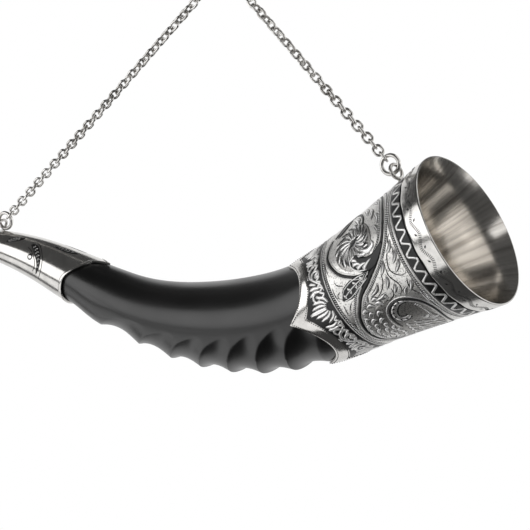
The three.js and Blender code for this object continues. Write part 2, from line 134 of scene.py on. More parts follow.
class MountShape(bpy.types.PropertyGroup):
    """Sizes of the silver mounts."""

    sheet_gap: length("Sheet gap", "Gap between the horn and the silver", 0.0003)
    band_width: length("Band width", "Width of the band at the rim", 0.0098)
    band_thickness: length("Band thickness", "Thickness of the band at the rim", 0.00125)
    band_seat: length("Band seat", "Where the band's underside leaves the horn", 0.004)
    band_waves: count("Band waves", "Waves of the vine and of the band's rear edge", 18)
    band_wave_height: length("Band wave height", "Height of the waves of the rear edge", 0.00022)
    band_crown: number("Band crown", "Rise of the band's middle as a share of its thickness", 0.06)
    lip_thickness: length("Lip thickness", "Thickness of the silver at the mouth's edge", 0.0007)
    liner_thickness: length("Lining thickness", "Thickness of the lining", 0.0007)
    liner_depth: length("Lining depth", "Depth of the lining", 0.080)
    liner_flare: length("Lining flare", "Stretch over which the lining opens to the lip", 0.010)
    collar_thickness: length("Collar thickness", "Thickness of the collar", 0.0008)
    collar_points: count("Collar points", "Points on the collar's rear edge", 5)
    collar_point_angle: angle("Point angle", "Angle of one point from the underside", 81)
    collar_hollow: length("Hollow station", "Station of the rear edge between points", 0.0765)
    collar_point: length("Point length", "How far a point reaches past the hollows", 0.0115)
    border_hollow: length("Strip in the hollows", "Width of the plain strip between points", 0.0056)
    border_point: length("Strip at the points", "Width of the plain strip at a point", 0.0098)
    border_raise: length("Border raise", "How far the plain strip stands up", 0.00035)
    border_sink: length("Border sink", "How far the plain strip sits in the collar", 0.0002)
    cap_thickness: length("Cap thickness", "Thickness of the tail cap", 0.0009)
    cap_station: length("Cap station", "Station of the cap's front edge below", 0.238)
    cap_shoulder: length("Cap shoulder", "How far the edge steps forward on top", 0.009)
    cap_shoulder_top: angle("Shoulder top", "Angle from the top where the shoulder starts to fall", 18)
    cap_shoulder_side: angle("Shoulder side", "Angle from the top where the shoulder has run out", 90)
    cap_tongue: length("Cap tongue", "Length of the tongue along the top", 0.008)
    cap_tongue_side: angle("Tongue side", "Angle from the top to the tongue's side", 22)
    cap_round: length("Cap rounding", "Rounding of the cap's rear end", 0.0008)
    cap_lip: length("Cap lip", "Width of the lip along the cap's edge", 0.002)
    knob_seat: length("Knob seat", "Gap between the cap and the ball's foot", 0.0002)
    knob_foot: length("Knob foot", "Height of the foot under the ball", 0.001)
    knob_foot_edge: length("Foot edge", "Chamfer of the foot under the ball", 0.0003)
    knob_cove: length("Knob cove", "Height of the hollow curve from the foot to the neck", 0.0014)
    knob_radius: length("Knob radius", "Radius of the ball on the tail", 0.0046)
    knob_neck_length: length("Neck length", "Length of the ball's neck", 0.003)
    knob_neck: length("Knob neck", "Radius of the ball's neck", 0.0024)
    eye_station: length("Mouth eye station", "Distance of the eye from the mouth", 0.020)
    eye_height: length("Mouth eye height", "Height of the eye's centre over the collar", 0.006)
    eye_turn: angle("Mouth eye turn", "Turn of the eye from straight across", 10)
    eye_foot: length("Mouth eye foot", "Radius of the foot under the eye", 0.002375)
    eye_neck: length("Mouth eye neck", "Radius of the neck under the eye", 0.000935)
    eye_sink: length("Mouth eye sink", "How far the foot sits in the collar", 0.0004)
    eye_radius: length("Mouth eye radius", "Radius of the wire eye at the mouth", 0.0035)
    eye_wire: length("Mouth eye wire", "Wire of the eye at the mouth", 0.0017)
    staple_station: length("Staple station", "Distance of the staple from the mouth", 0.297)
    staple_height: length("Staple height", "Height of the bow's centre over the cap", 0.0026)
    staple_sink: length("Staple sink", "How far the legs reach below the cap's skin", 0.00126)
    staple_lean: angle("Staple lean", "Lean of the staple toward the chain", 25)
    staple_radius: length("Staple radius", "Radius of the staple on the tail", 0.0036)
    staple_wire: length("Staple wire", "Wire of the staple on the tail", 0.0015)


class ChainShape(bpy.types.PropertyGroup):
    """Sizes of the chain and its rings."""

    link_width: length("Link width", "Width of a link", 0.0052)
    link_inside: length("Link inside", "Length of a link's hole", 0.0038)
    link_wire: length("Link wire", "Wire of a link", 0.0013)
    bearing: length("Bearing", "How far two links of one run sit in each other", 0.00015)
    clearance: length("Clearance", "Play where two runs meet", 0.0003)
    mouth_links: count("Mouth links", "Links from the hook to the mouth", 32)
    tail_links: count("Tail links", "Links from the hook to the tail", 48)
    runs: count("Runs", "Runs of links in each arm", 6)
    twist: angle("Twist", "Twist of the chain from the hook to the ring", -65)
    ring_radius: length("Ring radius", "Radius of a jump ring", 0.00425)
    ring_wire: length("Ring wire", "Wire of a jump ring", 0.0019)
    ring_turn: angle("Ring turn", "Turn of the rings about the chain", -85)


class StageSettings(bpy.types.PropertyGroup):
    """The camera, the floor and the light."""

    azimuth: angle("Azimuth", "Camera's turn round the horn", 34.25)
    elevation: angle("Elevation", "Camera's height above the level", 6)
    distance: length("Distance", "Camera's distance from its target", 0.6933)
    focal_pixels: bpy.props.FloatProperty(
        name="Focal length", description="Focal length in pixels of the photograph", default=1460
    )
    picture_pixels: count("Picture width", "Width of the photograph in pixels", 530)
    target_back: length("Target back", "Camera target behind the mouth's centre", 0.1068)
    target_down: length("Target down", "Camera target below the mouth's centre", 0.0218)
    key_turn: angle("Key light turn", "Turn of the key light to the tail's side", 42)
    floor_drop: length("Floor", "Height of the hook above the floor", 0.560)
    floor_radius: length("Floor radius", "Radius of the floor", 0.9)
    tent_radius: length("Tent radius", "Radius of the grey tent", 1.6)
    tent_opening: angle("Tent opening", "Half the angle of the tent's opening behind the horn", 36)


def blend_between(low, high, value):
    """Smooth step from 0 at low to 1 at high."""
    share = min(max((value - low) / (high - low), 0.0), 1.0)
    return share * share * (3 - 2 * share)


def spread(start, stop, steps):
    """Evenly spaced values from start to stop."""
    return [start + (stop - start) * i / steps for i in range(steps + 1)]


class HornForm:
    """The horn's centre line and outer surface. Angles run from the underside toward -Y."""

    def __init__(self, scene):
        shape, mounts = scene.horn_shape, scene.mount_shape
        rim = next(m for m in frame["record"]["mounts"] if m["name"] == "mouth_rim")
        ahead = Vector(rim["axis"])
        up = ACROSS.cross(ahead) * -1
        middle = shape.mouth_radius + mounts.sheet_gap + mounts.band_thickness / 2
        self.mouth = Vector(rim["pos_m"]) + up * middle
        self.tilt = math.atan2(ahead.z, ahead.x)
        self.spans = (
            (shape.mouth_straight, 0.0),
            (shape.bend_radius * shape.bend_angle, 1 / shape.bend_radius),
            (shape.tail_straight, 0.0),
            (math.inf, -1 / shape.tail_radius),
        )
        self.knots = (
            (0.0, shape.mouth_radius),
            (shape.throat_station, shape.throat_radius),
            (shape.belly_station, shape.belly_radius),
            (shape.waist_station, shape.waist_radius),
            (shape.tail_station, shape.tail_radius_here),
            (shape.horn_length, shape.tip_radius),
        )

    def at(self, station):
        """Place on the centre line, the way to the mouth and the way up."""
        x, z = self.mouth.x, self.mouth.z
        heading = self.tilt
        left = station
        for span, curvature in self.spans:
            run = min(left, span)
            turn = run * curvature
            chord = run if turn == 0 else 2 / curvature * math.sin(turn / 2)
            x -= chord * math.cos(heading - turn / 2)
            z -= chord * math.sin(heading - turn / 2)
            heading -= turn
            left -= run
        ahead = Vector((math.cos(heading), 0, math.sin(heading)))
        up = Vector((-math.sin(heading), 0, math.cos(heading)))
        return Vector((x, 0, z)), ahead, up

    def radius(self, station):
        """Outer radius, through the knots with mean slopes and straight ends."""
        knots = self.knots
        station = min(max(station, knots[0][0]), knots[-1][0])
        i = next(k for k in range(len(knots) - 1) if station <= knots[k + 1][0])
        secants = [(b[1] - a[1]) / (b[0] - a[0]) for a, b in zip(knots, knots[1:])]
        slope_in = (secants[max(i - 1, 0)] + secants[i]) / 2
        slope_out = (secants[i] + secants[min(i + 1, len(secants) - 1)]) / 2
        (start, low), (stop, high) = knots[i], knots[i + 1]
        span = stop - start
        p = (station - start) / span
        rise = low * (1 + 2 * p) * (1 - p) ** 2 + high * p * p * (3 - 2 * p)
        return rise + span * p * (1 - p) * (slope_in * (1 - p) - slope_out * p)

    def point(self, station, turn, radius):
        """A point at an angle round the centre line."""
        place, _, up = self.at(station)
        return place - up * (radius * math.cos(turn)) - ACROSS * (radius * math.sin(turn))


def silver_face(form, mounts, thickness=0.0):
    """Radius of a face of the silver at a station, given its height over the seat."""
    return lambda station: form.radius(station) + mounts.sheet_gap + thickness


def collar_skin(form, mounts):
    """Outer radius of the collar's sheet at a station."""
    return silver_face(form, mounts, mounts.collar_thickness)


def cap_skin(form, mounts):
    """Outer radius of the tail cap's sheet at a station."""
    return silver_face(form, mounts, mounts.cap_thickness)


def bore_radius(form, shape, station):
    """Radius of the hollow at a station. The wall thins to the lip, and the bottom is round."""
    full = blend_between(0, shape.lip_length, station)
    wall = shape.lip_wall + (shape.wall - shape.lip_wall) * full
    return (form.radius(station) - wall) * math.sqrt(1 - (station / shape.bore_depth) ** 4)


def collar_edge(mounts, turn):
    """Station of the collar's rear edge: hollows between points drawn out to cusps."""
    share = mounts.collar_points * (turn - mounts.collar_point_angle) / FULL_TURN
    from_point = 2 * abs(share - round(share))
    return mounts.collar_hollow + mounts.collar_point * (1 - from_point) ** 2


def border_edge(mounts, turn, share):
    """Station on the plain strip, from its front edge at 0 to the collar's edge at 1."""
    edge = collar_edge(mounts, turn)
    to_point = (edge - mounts.collar_hollow) / mounts.collar_point
    wide = mounts.border_hollow + (mounts.border_point - mounts.border_hollow) * to_point
    return edge - wide * (1 - share)


def cap_edge(mounts, turn):
    """Station of the cap's front edge: a shoulder and a tongue along the top."""
    from_top = abs(turn - math.pi)
    fall = blend_between(mounts.cap_shoulder_top, mounts.cap_shoulder_side, from_top)
    shoulder = mounts.cap_shoulder * (1 - fall)
    tongue = mounts.cap_tongue * max(0.0, 1 - from_top / mounts.cap_tongue_side) ** 1.5
    return mounts.cap_station - shoulder - tongue


def rolled(form, rows, sides):
    """Roll a sheet round the horn. A row gives a station for an angle, and a radius there."""
    bm = bmesh.new()
    last = len(rows) - 1
    bmesh.ops.create_grid(bm, x_segments=sides, y_segments=last, size=0.5)
    pattern = bm.loops.layers.uv.new("pattern")
    places = {}
    for vert in bm.verts:
        turn = (vert.co.x + 0.5) * FULL_TURN
        station_at, radius_at = rows[round((vert.co.y + 0.5) * last)]
        station = station_at(turn)
        places[vert] = form.point(station, turn, radius_at(station, turn)), turn, station
    middle = sum(form.radius(place[2]) for place in places.values()) / len(places)
    for face in bm.faces:
        for loop in face.loops:
            _, turn, station = places[loop.vert]
            loop[pattern].uv = turn * middle, station
    for vert, (place, _, _) in places.items():
        vert.co = place
    bmesh.ops.remove_doubles(bm, verts=bm.verts, dist=1e-6)
    bmesh.ops.dissolve_degenerate(bm, edges=bm.edges, dist=1e-7)
    bmesh.ops.recalc_face_normals(bm, faces=bm.faces)
    return bm


def ring_row(station, radius_at):
    """A row at one station all round."""
    return (lambda turn: station), (lambda at, turn: radius_at(at))


def edge_row(station_at, radius_at):
    """A row whose station follows an edge."""
    return station_at, (lambda at, turn: radius_at(at))


def mesh_of(bm, name):
    """A mesh with a bmesh's faces. The bmesh is freed."""
    mesh = bpy.data.meshes.new(name)
    bm.to_mesh(mesh)
    bm.free()
    return mesh


def put_piece(bm, name, material, body=HORN_BODY, nodes=(), sharp=40):
    """Make a bmesh a piece that rides on a body and may stand for CAD nodes."""
    mesh = mesh_of(bm, name)
    mesh.shade_smooth()
    mesh.set_sharp_from_angle(angle=math.radians(sharp))
    mesh.materials.append(material)
    piece = bpy.data.objects.new(name, mesh)
    bpy.context.scene.collection.objects.link(piece)
    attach(piece, body)
    if nodes:
        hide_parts(*nodes)
    return piece


def linear(code):
    """A linear colour from an sRGB hex value."""
    channels = [int(code[i : i + 2], 16) / 255 for i in (1, 3, 5)]
    return [c / 12.92 if c <= 0.04045 else ((c + 0.055) / 1.055) ** 2.4 for c in channels] + [1.0]


def add_node(tree, kind, inputs=None, **settings):
    """Add a shader node, set its properties, and set or link its inputs."""
    made = tree.nodes.new(kind)
    for key, value in settings.items():
        setattr(made, key, value)
    for key, value in (inputs or {}).items():
        if isinstance(value, bpy.types.NodeSocket):
            tree.links.new(value, made.inputs[key])
        else:
            made.inputs[key].default_value = value
    return made


def new_material(name):
    """A material with an empty node tree and its output."""
    material = bpy.data.materials.new(name)
    material.use_nodes = True
    tree = material.node_tree
    tree.nodes.clear()
    return material, tree, add_node(tree, "ShaderNodeOutputMaterial")


def shade(tree, output, **inputs):
    """Close a material with one principled shader."""
    named = {key.replace("_", " "): value for key, value in inputs.items()}
    shader = add_node(tree, "ShaderNodeBsdfPrincipled", named)
    tree.links.new(shader.outputs["BSDF"], output.inputs["Surface"])


def ramp(tree, factor, stops):
    """A colour ramp with stops of position and linear colour."""
    made = add_node(tree, "ShaderNodeValToRGB", {"Fac": factor})
    elements = made.color_ramp.elements
    while len(elements) < len(stops):
        elements.new(0.5)
    for element, (position, colour) in zip(elements, stops):
        element.position = position
        element.color = colour
    return made.outputs["Color"]


def object_place(tree):
    """Coordinates fixed to the piece, in metres."""
    return add_node(tree, "ShaderNodeTexCoord").outputs["Object"]


def grain_place(tree, width, run):
    """Coordinates of the sheet laid flat, for grain of a width round the horn and a run along it."""
    flat = add_node(tree, "ShaderNodeUVMap", uv_map="pattern")
    inputs = {"Vector": flat.outputs["UV"], "Scale": (1 / width, 1 / run, 1)}
    return add_node(tree, "ShaderNodeMapping", inputs).outputs["Vector"]


def noise(tree, place, scale, detail, **more):
    """Cloudy noise, as a value about 0.5."""
    inputs = {"Vector": place, "Scale": scale, "Detail": detail, **more}
    return add_node(tree, "ShaderNodeTexNoise", inputs).outputs["Fac"]


def ranged(tree, value, low, high):
    """The middle part of a noise, stretched to run from low to high."""
    inputs = {"Value": value, "From Min": 0.3, "From Max": 0.7, "To Min": low, "To Max": high}
    return add_node(tree, "ShaderNodeMapRange", inputs).outputs["Result"]


def bumped(tree, height, strength, depth):
    """Normals of a fine relief."""
    inputs = {"Height": height, "Strength": strength, "Distance": depth}
    return add_node(tree, "ShaderNodeBump", inputs).outputs["Normal"]


def polished_horn():
    """Black cattle horn, scraped and polished: deep black with faint grey fibres along it."""
    material, tree, output = new_material("polished black horn")
    # Fibres are 0.7 mm wide and 25 mm long, and clouds in the polish are 30 mm across.
    fibres = noise(tree, grain_place(tree, 0.7 * MM, 25 * MM), 1.0, 4.0)
    clouds = noise(tree, object_place(tree), 1 / (30 * MM), 2.0)
    colour = ramp(tree, fibres, [(0.35, linear("#020202")), (0.75, linear("#070607"))])
    shade(
        tree,
        output,
        Base_Color=colour,
        Roughness=ranged(tree, clouds, 0.28, 0.38),
        Normal=bumped(tree, fibres, 0.12, 0.05 * MM),
        IOR=1.56,
        Coat_Weight=0.15,
        Coat_Roughness=0.18,
    )
    return material


def pricked(tree, place):
    """Pricked dots with short cuts among them, as a value that is low in a dot or a cut."""
    # Dots are 1.1 mm apart and cuts 1.6 mm, coarser than real ones, so that they show.
    spots = {"Vector": place, "Scale": 1 / (1.1 * MM), "Randomness": 0.8}
    dots = add_node(tree, "ShaderNodeTexVoronoi", spots).outputs["Distance"]
    cuts = noise(tree, place, 1 / (1.6 * MM), 3.0, Distortion=1.6)
    return add_node(tree, "ShaderNodeMath", {0: dots, 1: cuts}, operation="MULTIPLY").outputs[0]


def silver(name, bright, dull, roughness, grit, pricks=0.0):
    """Sterling silver: grey-white metal with clouds of tarnish, polishing marks and pricked dots."""
    material, tree, output = new_material(name)
    place = object_place(tree)
    # Clouds of tarnish are 9 mm across.
    clouds = noise(tree, place, 1 / (9 * MM), 5.0, Roughness=0.6)
    marks = noise(tree, place, 1 / grit, 2.0)
    colour = ramp(tree, clouds, [(0.3, linear(dull)), (0.62, linear(bright))])
    height = marks
    if pricks:
        height = pricked(tree, place)
        dark = ramp(tree, height, [(0.08, [1 - pricks] * 3 + [1.0]), (0.2, [1.0] * 4)])
        mixed = add_node(
            tree,
            "ShaderNodeMix",
            {"Factor": 1.0, "A": colour, "B": dark},
            data_type="RGBA",
            blend_type="MULTIPLY",
        )
        colour = mixed.outputs["Result"]
    shade(
        tree,
        output,
        Base_Color=colour,
        Metallic=1.0,
        Roughness=ranged(tree, marks, roughness * 0.75, roughness * 1.35),
        Normal=bumped(tree, height, 0.12, 0.04 * MM),
    )
    return material


def burnished_lining():
    """Sheet silver burnished lengthwise: bright, with grey streaks that run into the mouth."""
    material, tree, output = new_material("burnished silver lining")
    # Streaks are 2.5 mm wide and 90 mm long, and fine rubbing marks 0.4 mm wide and 40 mm long.
    streaks = noise(tree, grain_place(tree, 2.5 * MM, 90 * MM), 1.0, 3.0)
    rubbing = noise(tree, grain_place(tree, 0.4 * MM, 40 * MM), 1.0, 3.0)
    tones = [(0.34, linear("#b9b4ae")), (0.5, linear("#d9d5cf")), (0.66, linear("#e6e2dc"))]
    shade(
        tree,
        output,
        Base_Color=ramp(tree, streaks, tones),
        Metallic=1.0,
        Roughness=ranged(tree, rubbing, 0.15, 0.21),
        Normal=bumped(tree, streaks, 0.12, 0.1 * MM),
    )
    return material


def niello():
    """Niello, black sulphide melted into engraved silver: near black with a faint metal sheen."""
    material, tree, output = new_material("niello inlay")
    # Its grain is 1.2 mm across.
    grain = noise(tree, object_place(tree), 1 / (1.2 * MM), 4.0)
    colour = ramp(tree, grain, [(0.35, linear("#060606")), (0.7, linear("#141313"))])
    shade(tree, output, Base_Color=colour, Roughness=0.38, Normal=bumped(tree, grain, 0.2, 0.05 * MM))
    return material


def oxidised_line():
    """Silver sulphide left in an engraved cut: dark grey and dull, lighter where it is rubbed."""
    material, tree, output = new_material("oxidised engraving")
    # Rubbed spots are 3 mm across.
    rubbed = noise(tree, object_place(tree), 1 / (3 * MM), 3.0)
    colour = ramp(tree, rubbed, [(0.35, linear("#0f0f0e")), (0.7, linear("#282726"))])
    shade(tree, output, Base_Color=colour, Metallic=0.6, Roughness=0.45)
    return material


def matted_ground():
    """Silver matted with a punch: grey, with small dark pits 0.7 mm apart."""
    material, tree, output = new_material("matted silver ground")
    spots = {"Vector": object_place(tree), "Scale": 1 / (0.7 * MM)}
    pits = add_node(tree, "ShaderNodeTexVoronoi", spots).outputs["Distance"]
    colour = ramp(tree, pits, [(0.12, linear("#5a5957")), (0.5, linear("#b9b7b4"))])
    relief = bumped(tree, pits, 0.4, 0.1 * MM)
    shade(tree, output, Base_Color=colour, Metallic=1.0, Roughness=0.42, Normal=relief)
    return material


FINISHES = {}


def finish(name):
    """A finish of the horn, made when it is first asked for."""
    if name not in FINISHES:
        makers = {
            "horn": polished_horn,
            "polished": lambda: silver("polished silver", "#d8d6d3", "#c3c1be", 0.16, 0.8 * MM),
            "lining": burnished_lining,
            "engraved": lambda: silver("engraved silver", "#f0efec", "#dddbd8", 0.38, 0.5 * MM, 0.5),
            "relief": lambda: silver("chased silver relief", "#f8f7f6", "#ecebe9", 0.34, 0.5 * MM),
            "chain": lambda: silver("oxidised chain silver", "#e6e4e1", "#a9a6a2", 0.18, 0.6 * MM),
            "line": oxidised_line,
            "matted": matted_ground,
            "niello": niello,
        }
        FINISHES[name] = makers[name]()
    return FINISHES[name]


def ridge_stations(shape):
    """Stations of the run-in and of every ridge. The last ones stand further apart."""
    stations = [shape.ridge_run_in, shape.ridge_start]
    spacings = shape.ridge_count - 1
    for i in range(spacings):
        stretch = shape.ridge_stretch * (i / max(spacings - 1, 1)) ** 4
        stations.append(stations[-1] + shape.ridge_pitch * (1 + stretch))
    return stations


BORE_ROWS = 40
FRONT_ROWS = 30
SCOOP_ROWS = 16
TAIL_ROWS = 40
HORN_SIDES = 180
# A scoop's arch follows this part of a half wave.
ARCH_START = 0.1
ARCH_RUN = 0.85


def horn_rows(form, shape):
    """Rows of the horn from the bottom of its bore, out over the lip and back to the tip."""

    def bore(station):
        return bore_radius(form, shape, station)

    def from_underside(turn):
        return min(turn, FULL_TURN - turn)

    def lean(turn):
        return -shape.ridge_lean * (1 - math.cos(min(from_underside(turn), math.pi / 2)))

    def scoop(share, turn):
        rise = math.sin(math.pi * (ARCH_START + ARCH_RUN * share))
        arch = shape.scoop_low + (1 - shape.scoop_low) * rise
        reach = min(1.0, from_underside(turn) / (shape.ridge_end * arch))
        hollow = 4 * share * (1 - share) * (1 + shape.scoop_skew * (share - 0.5))
        return shape.ridge_depth * hollow * (1 - reach**3) ** 0.9

    def bell(station, start, stop):
        share = (station - start) / (stop - start)
        return math.sin(math.pi * share) ** 2 if 0 < share < 1 else 0.0

    def skin(station, turn):
        down = math.cos(turn)
        top = shape.top_swell * bell(station, shape.top_swell_start, shape.top_swell_end)
        last = shape.last_swell * bell(station, shape.last_swell_start, shape.last_swell_end)
        return form.radius(station) + top * max(0.0, -down) + last * max(0.0, down)

    def smooth(share, start, stop, start_lean, stop_lean):
        def station(turn):
            first = start + start_lean * lean(turn)
            return first + (stop + stop_lean * lean(turn) - first) * share

        return station, skin

    def scooped(share, start, stop):
        here = start + (stop - start) * share
        return (lambda turn: here + lean(turn)), (lambda at, turn: skin(at, turn) - scoop(share, turn))

    front, end = shape.front_edge, shape.horn_length
    ridges = ridge_stations(shape)
    rows = [ring_row(station, bore) for station in spread(shape.bore_depth, front, BORE_ROWS)]
    rows += [smooth(share, front, ridges[0], 0, 1) for share in spread(0, 1, FRONT_ROWS)[:-1]]
    for first, last in zip(ridges, ridges[1:]):
        rows += [scooped(share, first, last) for share in spread(0, 1, SCOOP_ROWS)[:-1]]
    rows += [smooth(share, ridges[-1], end, 1, 0) for share in spread(0, 1, TAIL_ROWS)]
    rows.append(ring_row(end, lambda station: 0.0))
    return rows


class DRINKINGHORN_OT_horn(bpy.types.Operator):
    """Build the ridged black horn with its bore"""

    bl_idname = "drinking_horn.horn"
    bl_label = "Horn"

    def execute(self, context):
        scene = context.scene
        form = HornForm(scene)
        bm = rolled(form, horn_rows(form, scene.horn_shape), HORN_SIDES)
        put_piece(bm, "ridged_horn", finish("horn"), nodes=["horn_body"], sharp=50)
        return {"FINISHED"}


LINING_ROWS = 60
LINING_SIDES = 128
BAND_SIDES = 144
# The band's edges are rounded: shares of its width, and of its thickness there.
BAND_FRONT = ((0.006, 0.86), (0.02, 0.95), (0.045, 1.0))
BAND_REAR = ((0.96, 1.0), (0.985, 0.92), (1.0, 0.75))


def lining_rows(form, shape, mounts):
    """Rows of the lining: in along its bright face, and back along the face on the horn."""
    lip = form.radius(0) + mounts.sheet_gap + mounts.band_thickness - mounts.lip_thickness

    def inside(station):
        return bore_radius(form, shape, station) - mounts.sheet_gap - mounts.liner_thickness

    def flared(station):
        open_out = max(0.0, 1 - station / mounts.liner_flare) ** 2
        return inside(station) + (lip - inside(0)) * open_out

    def outside(station):
        return flared(station) + mounts.liner_thickness

    stations = spread(0, mounts.liner_depth, LINING_ROWS)
    rows = [ring_row(station, flared) for station in stations]
    rows += [ring_row(station, outside) for station in reversed(stations[1:])]
    return rows + rows[:1]


def band_rows(form, mounts):
    """Rows of the rim band: a crowned outer face, a wavy rear edge and a face on the horn."""
    thick = mounts.band_thickness
    under = silver_face(form, mounts)

    def crowned(share):
        return 1 + mounts.band_crown * math.sin(share * math.pi)

    def along(share):
        # The waves grow over the rear part of the band.
        wave = mounts.band_wave_height * blend_between(0.6, 1.0, share)
        return lambda turn: share * mounts.band_width + wave * math.sin(turn * mounts.band_waves)

    def face(share, full):
        return edge_row(along(share), lambda at: under(at) + thick * full)

    lip = 1.02 - mounts.lip_thickness / thick
    profile = [(0.0, lip), *BAND_FRONT]
    profile += [(share, crowned(share)) for share in spread(0.08, 0.92, 12)]
    rows = [face(share, full) for share, full in (*profile, *BAND_REAR)]
    back = [edge_row(along(1.0), under), ring_row(mounts.band_seat, under)]
    return rows + back + rows[:1]


class DRINKINGHORN_OT_mouth(bpy.types.Operator):
    """Build the silver lining and the band round the rim"""

    bl_idname = "drinking_horn.mouth"
    bl_label = "Lining and rim band"

    def execute(self, context):
        scene = context.scene
        form, shape, mounts = HornForm(scene), scene.horn_shape, scene.mount_shape
        lining = rolled(form, lining_rows(form, shape, mounts), LINING_SIDES)
        put_piece(lining, "mouth_lining", finish("lining"), nodes=["mouth_liner"])
        band = rolled(form, band_rows(form, mounts), BAND_SIDES)
        put_piece(band, "polished_rim_band", finish("polished"), nodes=["rim_band"])
        return {"FINISHED"}


def joined(parts):
    """One bmesh of several."""
    whole = bmesh.new()
    for part in parts:
        mesh = mesh_of(part, "part")
        whole.from_mesh(mesh)
        bpy.data.meshes.remove(mesh)
    return whole


def basis(first, second, place):
    """A matrix whose X and Y run along two directions, at a place."""
    turned_to = Matrix((first, second, first.cross(second))).transposed().to_4x4()
    return Matrix.Translation(place) @ turned_to


def spin_round(bm, geom, steps):
    """Spin a profile right round the Z axis."""
    bmesh.ops.spin(
        bm,
        geom=geom,
        cent=(0, 0, 0),
        axis=(0, 0, 1),
        dvec=(0, 0, 0),
        angle=FULL_TURN,
        steps=steps,
        use_merge=True,
    )


def turned(profile, place, axis, steps=32):
    """Spin a profile of radius and height about an axis, as on a lathe."""
    bm = bmesh.new()
    verts = [bm.verts.new((radius, 0, height)) for radius, height in profile]
    edges = [bm.edges.new(pair) for pair in zip(verts, verts[1:])]
    spin_round(bm, verts + edges, steps)
    bmesh.ops.remove_doubles(bm, verts=bm.verts, dist=1e-6)
    bmesh.ops.recalc_face_normals(bm, faces=bm.faces)
    turn = Vector((0, 0, 1)).rotation_difference(axis).to_matrix().to_4x4()
    bmesh.ops.transform(bm, matrix=Matrix.Translation(place) @ turn, verts=bm.verts)
    return bm


def wire_loop(matrix, radius, wire, stretch=0.0, steps=24, sides=10):
    """A loop of round wire in the matrix's XY plane, pulled apart along X."""
    bm = bmesh.new()
    section = Matrix.Rotation(math.pi / steps, 4, "Z")
    section @= Matrix.Translation((radius, 0, 0)) @ Matrix.Rotation(math.pi / 2, 4, "X")
    bmesh.ops.create_circle(bm, segments=sides, radius=wire / 2, matrix=section)
    spin_round(bm, bm.verts[:] + bm.edges[:], steps)
    bmesh.ops.remove_doubles(bm, verts=bm.verts, dist=1e-7)
    for vert in bm.verts:
        vert.co.x += math.copysign(stretch, vert.co.x)
    bmesh.ops.transform(bm, matrix=matrix, verts=bm.verts)
    bmesh.ops.recalc_face_normals(bm, faces=bm.faces)
    return bm


def eye_loop(matrix, radius, wire):
    """A loop of wire, finely divided, for an eye."""
    return wire_loop(matrix, radius, wire, steps=36, sides=14)


def eye_centre(form, mounts):
    """Centre of the wire eye at the mouth."""
    height = collar_skin(form, mounts)(mounts.eye_station) + mounts.eye_height
    return form.point(mounts.eye_station, math.pi, height)


def staple_centre(form, mounts):
    """Centre of the staple's bow at the tail."""
    height = cap_skin(form, mounts)(mounts.staple_station) + mounts.staple_height
    return form.point(mounts.staple_station, math.pi, height)


COLLAR_ROWS = 36
BORDER_ROWS = 8
COLLAR_SIDES = 240


class DRINKINGHORN_OT_collar(bpy.types.Operator):
    """Build the collar's sheet and the plain strip along its rear edge"""

    bl_idname = "drinking_horn.collar"
    bl_label = "Collar"

    def execute(self, context):
        scene = context.scene
        form, mounts = HornForm(scene), scene.mount_shape
        under, skin = silver_face(form, mounts), collar_skin(form, mounts)
        front = mounts.band_width + mounts.sheet_gap

        def along(share):
            return lambda turn: front + (collar_edge(mounts, turn) - front) * share

        def strip(share):
            return lambda turn: border_edge(mounts, turn, share)

        shares = spread(0, 1, COLLAR_ROWS)
        rows = [edge_row(along(share), under) for share in shares]
        rows += [edge_row(along(share), skin) for share in reversed(shares)]
        collar = rolled(form, rows + rows[:1], COLLAR_SIDES)
        put_piece(collar, "engraved_collar", finish("engraved"), nodes=["mouth_collar"])

        top = []
        for share in spread(0, 1, BORDER_ROWS):
            full = (1 - (2 * share - 1) ** 4) * mounts.border_raise
            top.append(edge_row(strip(share), lambda at, full=full: skin(at) + full))
        bottom = [edge_row(strip(share), lambda at: skin(at) - mounts.border_sink) for share in (1, 0)]
        border = rolled(form, top + bottom + top[:1], COLLAR_SIDES)
        put_piece(border, "collar_border", finish("polished"))
        return {"FINISHED"}


def flowing(points, steps=5):
    """A smooth path through a few places of a drawing."""
    ends = [points[0], *points, points[-1]]
    path = []
    for four in zip(ends, ends[1:], ends[2:], ends[3:]):
        before, start, stop, after = (Vector((*place, 0)) for place in four)
        first = start + (stop - before) / 6
        second = stop - (after - start) / 6
        curve = interpolate_bezier(start, first, second, stop, steps + 1)
        path += [tuple(place.xy) for place in curve[:-1]]
    return path + [tuple(points[-1])]


def between(values, share):
    """A value part of the way through a row of values."""
    place = share * (len(values) - 1)
    i = min(int(place), len(values) - 2)
    return values[i] + (values[i + 1] - values[i]) * (place - i)


LEAF = (0.15, 0.75, 1.0, 0.8, 0.1)
COMMA = (1.0, 0.95, 0.7, 0.4, 0.1)
EVEN = (1.0, 1.0)


